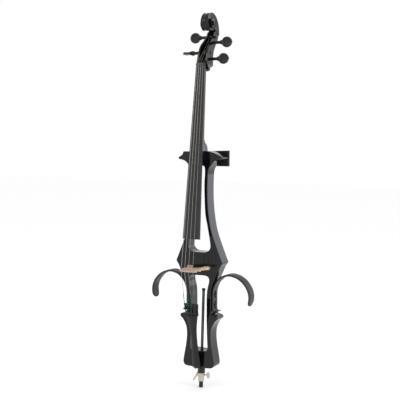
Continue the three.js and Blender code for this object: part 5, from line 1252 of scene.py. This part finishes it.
# %% Plug and collar
PIN_BORE, WING_Z, LEVER_Z = 5.4, 45, 47
plug_profile = [
    (PIN_BORE, 50.8), (13, 50.8), (13, ENDPIN_LOW - 6.94), (10.8, ENDPIN_LOW - 5.82),
    (10.8, ENDPIN_LOW + 0.3), (11.7, ENDPIN_LOW + 0.6), (10.5, ENDPIN_LOW + 34),
    (PIN_BORE, ENDPIN_LOW + 34),
]
plug = turned("plug", softened(plug_profile, 0.6), endpin_frame, 64)
set_in("endpin_plug_turned", plug, plastic, "endpin_plug", 40)

collar_profile = [
    (PIN_BORE, 22.4), (10.2, 22.4), (10.2, 24.6), (9.8, 25), (9.8, 26), (10.2, 26.4), (10.2, 38.5),
    (12.8, 38.8), (12.8, 41), (12.4, 41.4), (12.4, 42), (12.8, 42.4), (12.8, 50.5),
    (PIN_BORE, 50.5),
]
wing_place = endpin_frame @ Matrix.Translation((0, 0, WING_Z))
lever_place = endpin_frame @ Matrix.Translation((0, 0, LEVER_Z))
clamp_bores = [
    straight_rod("wing_bore", 2.1, 0, 19, wing_place, 24, TO_X),
    straight_rod("lever_bore", 1.9, 0, 19, lever_place, 24, TO_MINUS_X),
]
collar_mesh = carve(turned("collar", softened(collar_profile, 0.5), endpin_frame, 64), clamp_bores)
set_in("endpin_collar_turned", collar_mesh, nickel, "endpin_collar", 35, flat_faces=True)

# %% Wing screw and flat lever
wing_outline = []
for k in range(48):
    angle = 2 * math.pi * k / 48
    pinch = 1 - 0.1 * math.cos(angle) ** 4
    wing_outline.append((26.8 + 7 * pinch * math.cos(angle), 11.5 * math.sin(angle)))
grip = plate("grip", [wing_outline], -1.5, 1.5, 0.9, wing_place, 4)
stem_profile = [(0, 5.8), (1.8, 5.8), (1.8, 17), (3.2, 18.4), (3.2, 21), (1.8, 25), (0, 25)]
stem = turned("stem", softened(stem_profile, 0.5), wing_place, 32, TO_X)
set_in("collar_wing", joined("wing", [grip, stem]), nickel, "collar_wing_screw", 45)

blade = [(-13.2, 4.5), (-15.6, 4.5), (-30.6, -25), (-28.2, -27.4), (-13.2, -4.5)]
flat_lever = plate("lever", [eased(blade, 1.2)], -4.5, 4.5, 0.8, lever_place)
pin = straight_rod("pin", 1.6, 5.8, 15.6, lever_place, 24, TO_MINUS_X)
set_in("collar_flat_lever", joined("lever", [flat_lever, pin]), nickel, "collar_lever", 45)

# %% Rod, spike, cap and foot
rod_profile = [(0, 19.3), (5, 19.3), (5, 332), (4.6, 332.4), (4.6, 333.4), (5, 333.8),
               (5, 337), (0, 337)]
rod = turned("rod", softened(rod_profile, 0.4), endpin_frame, 48)
set_in("endpin_rod_drawn", rod, drawn_steel, "endpin_rod", 40)
spike = turned("spike", softened([(0, 9), (3, 13.5), (3, 19), (0, 19)], 0.3), endpin_frame, 32)
set_in("spike_ground", spike, drawn_steel, "endpin_spike", 40)
cap_profile = [(0, 337.3), (6.1, 337.3), (6.1, 344.6), (4.6, 346), (0, 346)]
cap = turned("cap", softened(cap_profile, 1.1, 5), endpin_frame, 48)
set_in("rod_cap", cap, plastic, "endpin_cap", 40)
foot_profile = [(0, -6), (6.28, -6), (6.28, 1.1), (7.3, 2.6)]
for low in (5.5, 8.5, 11.5, 14.5):
    foot_profile += [(7.3, low), (6.85, low + 0.35), (6.85, low + 0.95), (7.3, low + 1.3)]
foot_profile += [(7.3, 19.3), (6.86, 21.5), (5.3, 21.5), (5.3, 18.7), (3.3, 18.4),
                 (3.3, 13.2), (0, 8.4)]
foot_mesh = turned("foot", softened(foot_profile, 0.4), endpin_frame, 48)
foot_mesh = carve(foot_mesh, [block("floor_cut", (-20, -20, -14), (20, 20, 0))])
set_in("rubber_foot_moulded", foot_mesh, rubber, "rubber_foot", 40)

# %% [markdown]
# ## Knee rests
# Each knee rest is a flat steel strap bent along a measured path, with two long slots so that it
# can be set higher or lower. A thin rubber sleeve covers the bent half and its round tip. Strap
# and sleeve are lofts of the same rounded section, one a little larger than the other.

# %% The strap's path
knee_shares = [
    (0.11, 0.01), (0.07, 0), (0.025, 0.008), (0, 0.06), (0, 0.215), (0, 0.49), (0.013, 0.59),
    (0.062, 0.72), (0.147, 0.85), (0.242, 0.937), (0.352, 0.98), (0.461, 1), (0.57, 0.983),
    (0.678, 0.948), (0.786, 0.879), (0.868, 0.796), (0.936, 0.698), (0.982, 0.586), (1, 0.472),
    (0.993, 0.367), (0.962, 0.24),
]
knee_curve = smooth_path([Vector((x * KNEE_REACH, z * KNEE_RISE)) for x, z in knee_shares], 8)
knee_lengths = [0.0]
for p, q in zip(knee_curve, knee_curve[1:]):
    knee_lengths.append(knee_lengths[-1] + (q - p).length)
TIP_RADIUS, SLEEVE_FROM, SLEEVE = 17.0, knee_lengths[64], 1.4
SLOT_REACH, SLOT_RADIUS = 13.0, 4.2
print("strap", round(knee_lengths[-1], 1), "mm long, sleeve from", round(SLEEVE_FROM, 1))


# %% Sections, tips and slots
def on_strap(distance):
    """Place and direction at a distance along the strap."""
    k = 0
    while k < len(knee_curve) - 2 and knee_lengths[k + 1] < distance:
        k += 1
    direction = (knee_curve[k + 1] - knee_curve[k]).normalized()
    return knee_curve[k] + direction * (distance - knee_lengths[k]), direction


def strap_section(distance, reach, half_depth, side):
    """A rounded section square to the path; reach is half the thickness."""
    p, direction = on_strap(distance)
    normal = Vector((-direction.y, direction.x))
    corner = reach * 0.7
    ring = []
    for sign_n, sign_y, first in ((1, 1, 0), (-1, 1, 90), (-1, -1, 180), (1, -1, 270)):
        for k in range(5):
            angle = math.radians(first + 22.5 * k)
            off = sign_n * (reach - corner) + corner * math.cos(angle)
            y = sign_y * (half_depth - corner) + corner * math.sin(angle)
            place = p + normal * off
            ring.append((side * (KNEE_ROOT + place.x), KNEE_MIDDLE + y, KNEE_FOOT_Z + place.y))
    return ring


def strap_loft(name, first, past, grow, side):
    """A strap from a distance to its tip, grown all round, with a tip as round as a coin."""
    last = knee_lengths[-1] + past
    radius = TIP_RADIUS + past
    stops = [first, first + 0.6]
    stops += [first + (last - radius - first) * k / 90 for k in range(1, 91)]
    stops += [last - radius * (1 - math.sin(math.radians(9 * k)))
              for k in range(1, 10)] + [last - 0.05]
    rings = []
    for stop in stops:
        left = max(radius - (last - stop), 0)
        deep = KNEE_DEPTH / 2 + grow - radius + math.sqrt(max(radius ** 2 - left ** 2, 0.3))
        thin = 0.45 if stop == stops[0] or last - stop < 0.1 else 0
        rings.append(strap_section(stop, STRAP_HALF + grow - thin, deep - thin, side))
    return loft(name, rings)


def slot_outline(z):
    """A long hole with round ends, in Y and Z."""
    straight = SLOT_REACH - SLOT_RADIUS
    found = []
    for end, first in ((straight, 0), (-straight, 180)):
        for k in range(13):
            angle = math.radians(first + 15 * k)
            y = KNEE_MIDDLE + SLOT_RADIUS * math.cos(angle)
            found.append((y, z + end + SLOT_RADIUS * math.sin(angle)))
    return found


print("halfway the strap is at", tuple(round(v, 1) for v in on_strap(knee_lengths[-1] / 2)[0]))

# %% Straps, sleeves and their screws
for label, side in (("left", -1), ("right", 1)):
    low, high = sorted((side * (KNEE_ROOT - 6), side * (KNEE_ROOT + 6)))
    slots = [extruded_along_x("slot", slot_outline(z), low, high) for z in knee_screw_z]
    strap = carve(strap_loft("strap", 0, 0, 0, side), slots)
    set_in("knee_strap_" + label, strap, powder_coat, "knee_rest_" + label, 40, flat_faces=True)
    sleeve = strap_loft("sleeve", SLEEVE_FROM, SLEEVE, SLEEVE, side)
    lip = [strap_section(SLEEVE_FROM + along, STRAP_HALF + SLEEVE + rise,
                         KNEE_DEPTH / 2 + SLEEVE + rise, side)
           for along, rise in ((-0.4, 0), (0.2, 0.35), (2.2, 0.35), (2.8, 0))]
    sleeve = joined("sleeve", [sleeve, loft("lip", lip)])
    set_in("knee_sleeve_skin_" + label, sleeve, rubber, "knee_sleeve_" + label, 40)
    axis = TO_X if side > 0 else TO_MINUS_X
    head, tip = KNEE_ROOT + STRAP_HALF + STRAP_GAP, KNEE_ROOT - 15.7
    profile = [(0, tip), (2.5, tip), (2.5, head), (5.2, head), (5.2, head + 1)]
    profile += [(4.6, head + 2.1), (3.2, head + 2.7), (0, head + 2.8)]
    for level, z in zip(("lower", "upper"), knee_screw_z):
        place = Matrix.Translation((0, KNEE_MIDDLE, z))
        screw = turned("screw", softened(profile, 0.5), place, 36, axis)
        key = straight_rod("key", 2.3, head + 0.6, head + 5, place, 6, axis)
        spot = "screw_%s_%s" % (level, label)
        set_in("strap_" + spot, carve(screw, [key]), black_metal, "knee_" + spot, 35)

# %% [markdown]
# ## Chest rest
# A coated plate stands behind the shoulders on two steel rods. The pad on its back is soft, so it
# is blown up like a real cushion: a slightly small block is remeshed, cloth pressure swells it,
# and how far any point may move is capped. A piped seam runs round it.

# %% Plate and rods
PLATE_Y, PLATE_THICK = BACK + 4.6, 6
CHEST_LEFT, CHEST_RIGHT, CHEST_LOW, CHEST_HIGH = -73.0, 84.0, CHEST_Z - 29, CHEST_Z + 25
plate_outline = [
    (CHEST_LEFT, CHEST_LOW), (CHEST_RIGHT, CHEST_LOW),
    (CHEST_RIGHT, CHEST_HIGH), (CHEST_LEFT, CHEST_HIGH - 5),
]
chest_mesh = plate("chest_plate", [eased(plate_outline, 2)], PLATE_Y, PLATE_Y + PLATE_THICK, 1)
lines = []
for x in (64, 70):
    line_low, line_high = (x, PLATE_Y - 2, CHEST_LOW - 4), (x + 0.9, PLATE_Y + 0.6, CHEST_HIGH + 4)
    lines.append(block("line", line_low, line_high))
chest_mesh = carve(chest_mesh, lines)
band_outline = round_corners(CHEST_RIGHT - 9, CHEST_RIGHT - 0.3, CHEST_LOW + 0.3, CHEST_HIGH - 4, 2)
band = plate("band", [band_outline], PLATE_Y - 1.5, PLATE_Y + 5, 0.8)
chest_mesh = carve(chest_mesh, [band], "UNION")
set_in("chest_plate_coated", chest_mesh, powder_coat, "chest_plate", 35, flat_faces=True)
inner_end, outer_end = BACK - ROD_DEPTH, PLATE_Y - SEAT_GAP
rod_profile = softened([(0, inner_end), (4, inner_end), (4, outer_end), (0, outer_end)], 0.5)
for label, side in (("left", -1), ("right", 1)):
    rod = turned("rod", rod_profile, Matrix.Translation((side * ROD_X, 0, CHEST_Z)), 32, TO_Y)
    set_in("chest_rod_drawn_" + label, rod, drawn_steel, "chest_rod_" + label, 40)

# %% A small block for the pad
pad_cover = finish("pad_cover", (0.02, 0.02, 0.021), 0.55, Sheen_Weight=0.15)
into_bump(pad_cover, noise_on(pad_cover, (700, 700, 700), 4.0), 0.35, 0.0002)
into_roughness(pad_cover, noise_on(pad_cover, (60, 60, 60), 3.0), 0.46, 0.64)
PAD_Y, PAD_HALF, PAD_THICK = PLATE_Y + PLATE_THICK + SEAT_GAP, 70.5, 12.8
PAD_LOW, PAD_HIGH = CHEST_Z - 25.2, CHEST_Z + 20


def pad_outline(inset, radius):
    """The pad's rounded rectangle, drawn in by an inset."""
    return round_corners(inset - PAD_HALF, PAD_HALF - inset,
                         PAD_LOW + inset, PAD_HIGH - inset, radius)


small_pad = plate("pad_core", [pad_outline(3, 8)], PAD_Y + 0.4, PAD_Y + 9.4, 3)
core = bpy.data.objects.new("pad_core", small_pad)
bpy.context.scene.collection.objects.link(core)
remesh = core.modifiers.new("remesh", "REMESH")
remesh.mode, remesh.voxel_size = "VOXEL", 0.004
core.data = evaluated(core)
core.modifiers.clear()
print("pad block points:", len(core.data.vertices))

# %% Swelling the pad
before = [v.co.copy() for v in core.data.vertices]
FARTHEST, LAST_FRAME = 0.005, 20
cloth = core.modifiers.new("cloth", "CLOTH")
cloth.settings.quality = 6
cloth.settings.use_pressure = True
cloth.settings.uniform_pressure_force = 4.0
cloth.settings.effector_weights.gravity = 0.0
cloth.point_cache.frame_start, cloth.point_cache.frame_end = 1, LAST_FRAME
for number in range(1, LAST_FRAME + 1):
    bpy.context.scene.frame_set(number)
swollen = [v.co.copy() for v in evaluated(core).vertices]
core.modifiers.clear()
bpy.context.scene.frame_set(1)
for vertex, start_place, place in zip(core.data.vertices, before, swollen):
    move = place - start_place
    if move.length > FARTHEST:
        move = move.normalized() * FARTHEST
    p = start_place + move
    p.x = min(max(p.x, -PAD_HALF * MM), PAD_HALF * MM)
    p.y = min(max(p.y, (PAD_Y + 0.1) * MM), (PAD_Y + PAD_THICK) * MM)
    p.z = min(max(p.z, PAD_LOW * MM), PAD_HIGH * MM)
    vertex.co = p
swell = max(v.co.y for v in core.data.vertices) / MM - PAD_Y
print("the pad swells to", round(swell, 1), "mm from the plate")

# %% Pad with its piping
subdivide = core.modifiers.new("smooth", "SUBSURF")
subdivide.levels = subdivide.render_levels = 1
pad_mesh = evaluated(core)
bpy.data.objects.remove(core)
seam = [(x, PAD_Y + 4.8, z) for x, z in pad_outline(0.8, 9)]
piping = tube("piping", seam + [seam[0]], 0.9, pad_cover, 10)
pad_piece = set_in("chest_pad_soft", joined("pad", [pad_mesh, piping]), pad_cover, "chest_pad", 50)

# %% [markdown]
# ## Pickups and the bay behind the bridge
# Two thin strips lie under the bridge's feet, and a lead runs from the right one through the body.
# The hidden side carries a cover with two knobs, two sockets and a slide switch. Knurls, cover
# screws, board parts and door ribs repeat, so the tree of copies makes them.

# %% Pickups and their lead
for label, side in (("left", -1), ("right", 1)):
    x = side * PICKUP_X
    strip_outline = round_corners(
        x - PICKUP_HALF, x + PICKUP_HALF, BRIDGE_Z - PICKUP_TALL, BRIDGE_Z + PICKUP_TALL, 1,
    )
    strip = plate("strip", [strip_outline], FRONT, FRONT + PICKUP_THICK, 0.3)
    set_in("pickup_strip_" + label, strip, nickel, "pickup_" + label, 40)
BOARD_LOW = BACK - BAY_DEPTH + 3
lead_start, lead_end = recess_floor, BOARD_LOW - SEAT_GAP
lead = [(PICKUP_X, lead_start + (lead_end - lead_start) * k / 6, BRIDGE_Z) for k in range(7)]
set_in("pickup_lead_round", tube("lead", lead, 1, plastic, 16), plastic, "pickup_lead", 50)

# %% Cover and its screws
KNOB_X, KNOB_Z, OUTPUT_X, JACK_Z, SWITCH_X = 17, PANEL_Z + 14, 38, PANEL_Z - 13, -7.0
SPOT_X, SPOT_Z = 42.5, 28.5
cover_outline = panel_outline(BAY_X, COVER_HALF, COVER_TALL, COVER_ROUND)
cover = plate("cover", [cover_outline], BACK - COVER_THICK, BACK, 0.6)
hole_spots = [(BAY_X - KNOB_X, KNOB_Z, 3.4), (BAY_X + KNOB_X, KNOB_Z, 3.4)]
hole_spots += [(OUTPUT_X, JACK_Z, 5.8), (BAY_X, JACK_Z, 4.3)]
holes = [straight_rod("hole", radius, -8, CUT_PAST, Matrix.Translation((x, BACK, z)), 32, TO_Y)
         for x, z, radius in hole_spots]
sink_profile = [(0, -1.7), (1.3, -1.7), (2.9, 0.1), (2.9, 3), (0, 3)]
for x in (BAY_X - SPOT_X, BAY_X + SPOT_X):
    for z in (PANEL_Z - SPOT_Z, PANEL_Z + SPOT_Z):
        holes.append(turned("sink", sink_profile, Matrix.Translation((x, BACK, z)), 24, TO_Y))
slot_low = (SWITCH_X - 6.4, BACK - 8, JACK_Z - 2.2)
slot_high = (SWITCH_X + 6.4, BACK + CUT_PAST, JACK_Z + 2.2)
holes.append(block("switch_slot", slot_low, slot_high))
set_in("control_cover_moulded", carve(cover, holes), plastic, "control_cover", 35, flat_faces=True)

screw_place = Matrix.Translation((BAY_X - SPOT_X, BACK, PANEL_Z - SPOT_Z))
cross = [block("cross", (-x, -0.8, -z), (x, 1, z), screw_place)
         for x, z in ((1.7, 0.3), (0.3, 1.7))]
one_screw = turned("screw", [(0, -1.6), (1.2, -1.6), (2.7, -0.15), (0, -0.1)],
                   screw_place, 24, TO_Y)
column = copies("screws", carve(one_screw, cross), 2, black_metal, step=(0, 0, 2 * SPOT_Z))
cover_screws = copies("cover_screws", column, 2, black_metal, step=(2 * SPOT_X, 0, 0))
set_in("cover_screws", cover_screws, black_metal, "control_cover", 35, hide=False)

# %% Pots and knurled knobs
mark_paint = finish("mark_paint", (0.75, 0.75, 0.72), 0.5)
into_roughness(mark_paint, noise_on(mark_paint, (400, 400, 400), 3.0), 0.4, 0.6)
inside, low = rebate_floor, BACK + 2 * SEAT_GAP
pot_profile = [(0, inside - 8), (8, inside - 8), (8, inside), (0, inside)]
knob_profile = [(0, low), (8.6, low), (8.6, low + 9.4), (7.4, low + 12),
                (5.2, low + 11.4), (0, low + 11.4)]
for label, x in (("volume", BAY_X - KNOB_X), ("tone", BAY_X + KNOB_X)):
    place = Matrix.Translation((x, 0, KNOB_Z))
    pot = turned("pot", softened(pot_profile, 0.8), place, 40, TO_Y)
    lugs = [block("lug", (at - 0.6, inside - 6.5, KNOB_Z - 7.9),
                  (at + 0.6, inside - 5.9, KNOB_Z - 4))
            for at in (x - 3, x, x + 3)]
    set_in(label + "_pot_can", joined("pot", [pot] + lugs), nickel, label + "_pot", 40)
    knob = turned("knob", softened(knob_profile, 0.7), place, 48, TO_Y)
    shaft = straight_rod("shaft", 3, BACK - COVER_THICK, BACK + 9, place, 32, TO_Y)
    ring = knurls(40, 8.5, low + 0.6, low + 9, 0.42, plastic, place, TO_Y)
    set_in(label + "_knob_knurled", joined("knob", [knob, shaft, ring]), plastic,
           label + "_knob", 40)
    mark = block("mark", (x - 0.35, low + 11.2, KNOB_Z + 2.2), (x + 0.35, low + 11.6, KNOB_Z + 5.4))
    set_in(label + "_knob_mark", mark, mark_paint, label + "_knob", 40, hide=False)

# %% Sockets and switch
for node, x, radius, bore, length, nut, thick in (
    ("output_jack", OUTPUT_X, 5.5, 3.2, 24.0, 8.0, 2.5),
    ("headphone_jack", BAY_X, 4.0, 1.8, 14.0, 5.5, 2.0),
):
    place = Matrix.Translation((x, BACK, JACK_Z))
    deep, bottom, lip, inner = -length * 0.8, -length * 0.75, SEAT_GAP + thick, radius - 0.2
    shell = turned("shell", [(bore, deep), (radius, deep), (radius, lip), (bore, lip)],
                   place, 40, TO_Y)
    core_profile = [(0, -length), (radius, -length), (radius, bottom), (0, bottom)]
    core = turned("core", softened(core_profile, 0.5), place, 40, TO_Y)
    nut_profile = [(inner, SEAT_GAP), (nut, SEAT_GAP), (nut, thick - 0.1), (nut - 0.5, 0.2 + thick)]
    ring = turned("nut", nut_profile + [(inner, 0.2 + thick)], place, 6, TO_Y)
    set_in(node + "_socket", joined("socket", [shell, core, ring]), nickel, node, 30)
switch_outline = round_corners(SWITCH_X - 6, SWITCH_X + 6, JACK_Z - 3, JACK_Z + 3, 0.8)
set_in("switch_case", plate("switch", [switch_outline], BACK - 10.8, BACK - 4.8, 0.4), plastic,
       "switch_body", 40)
thumb_outline = round_corners(SWITCH_X - 6, SWITCH_X - 2.4, JACK_Z - 1.8, JACK_Z + 1.8, 0.5)
thumb = plate("thumb", [thumb_outline], BACK - 4.5, BACK + 3.6, 0.3)
ridge_outline = [(3.2, -1.6), (3.2, 1.6), (4, 1.4), (4, -1.4)]
ridge_outline = [(BACK + y, JACK_Z + z) for y, z in ridge_outline]
ridge = extruded_along_x("ridge", ridge_outline, SWITCH_X - 5.6, SWITCH_X - 5.1)
ridges = copies("ridges", ridge, 3, plastic, step=(1.15, 0, 0))
set_in("switch_thumb", joined("thumb", [thumb, ridges]), plastic, "power_switch", 35)

# %% Circuit board
board_high = BOARD_LOW + 1.6
board_plate = plate("board", [panel_outline(BAY_X, 31, 20, 1)], BOARD_LOW, board_high, 0.2)
set_in("preamp_board_flat", board_plate, solder_mask, "preamp_board", 40)
chip = plate("chip", [round_corners(-6, 0, PANEL_Z - 6, PANEL_Z - 2, 0.3)], board_high,
             board_high + 1.8, 0.2)
chips = copies("chips", chip, 3, plastic, step=(16, 0, 7))
resistor_place = Matrix.Translation((-6, board_high + 1, PANEL_Z + 13))
resistor = turned("resistor", softened([(0, -3), (1, -3), (1, 3), (0, 3)], 0.6), resistor_place, 16)
resistors = copies("resistors", resistor, 9, plastic, step=(5.4, 0, 0))
set_in("board_parts", joined("parts", [chips, resistors]), plastic, "preamp_board", 40, hide=False)

# %% Battery and its box
RIM_Y, CELL_TOP = rebate_floor, PANEL_Z + 21.4
ROOM_HALF, ROOM_TALL = CELL_HALF + SEAT_GAP, CELL_TALL + SEAT_GAP
ROOM_DEEP = CELL_DEEP + 2 * SEAT_GAP
BOX_HALF, BOX_TALL = ROOM_HALF + BOX_WALL, ROOM_TALL + BOX_WALL
tray_outline = panel_outline(CELL_X, BOX_HALF, BOX_TALL, 2)
tray = plate("tray", [tray_outline], RIM_Y - ROOM_DEEP - BOX_WALL, RIM_Y, 0.4)
room = plate("room", [panel_outline(CELL_X, ROOM_HALF, ROOM_TALL, 1)], RIM_Y - ROOM_DEEP, RIM_Y + 5)
set_in("battery_tray", carve(tray, [room]), plastic, "battery_box", 35)
cell_outline = round_corners(CELL_X - CELL_HALF, CELL_X + CELL_HALF,
                             PANEL_Z - CELL_TALL, CELL_TOP, 2.4)
cell = plate("cell", [cell_outline], RIM_Y - CELL_DEEP - SEAT_GAP, RIM_Y - SEAT_GAP, 1)
snaps = []
for x, radius in ((CELL_X - 6.2, 2.9), (CELL_X + 6.2, 3.6)):
    place = Matrix.Translation((x, RIM_Y - 9, CELL_TOP))
    snap = [(0, -0.5), (radius, -0.5), (radius, 2.6), (radius * 0.6, 2.6),
            (radius * 0.6, 1), (0, 1)]
    snaps.append(turned("snap", softened(snap, 0.4), place, 24))
set_in("battery_cell", joined("cell", [cell] + snaps), cell_sleeve, "battery", 40)

# %% Battery door
DOOR_LEFT, DOOR_RIGHT = CELL_X - BOX_HALF + SEAT_GAP, CELL_X + BOX_HALF - SEAT_GAP
DOOR_LOW, DOOR_HIGH = PANEL_Z - ROOM_TALL, PANEL_Z + BOX_TALL - SEAT_GAP
door_outline = round_corners(DOOR_LEFT, DOOR_RIGHT, DOOR_LOW, DOOR_HIGH, 1.2)
door = plate("door", [door_outline], BACK - COVER_THICK, BACK, 0.4)
barrel_profile = [(0, DOOR_LEFT), (1.5, DOOR_LEFT), (1.5, DOOR_RIGHT), (0, DOOR_RIGHT)]
hinge_place = Matrix.Translation((0, BACK - COVER_THICK / 2, DOOR_LOW))
barrel = turned("barrel", softened(barrel_profile, 0.3), hinge_place, 24, TO_X)
grip_outline = round_corners(CELL_X - 6.6, CELL_X + 6.6, DOOR_HIGH - 1.6, DOOR_HIGH, 0.5)
grip = plate("grip", [grip_outline], BACK - SEAT_GAP, BACK + 1.25, 0.3)
rib_outline = round_corners(CELL_X - 9, CELL_X + 9, PANEL_Z + 6, PANEL_Z + 7, 0.45)
rib = plate("rib", [rib_outline], BACK - SEAT_GAP, BACK + 0.5, 0.2)
ribs = copies("ribs", rib, 7, plastic, step=(0, 0, 2.1))
set_in("battery_door_ribbed", joined("door", [door, barrel, grip, ribs]), plastic,
       "battery_door", 35)
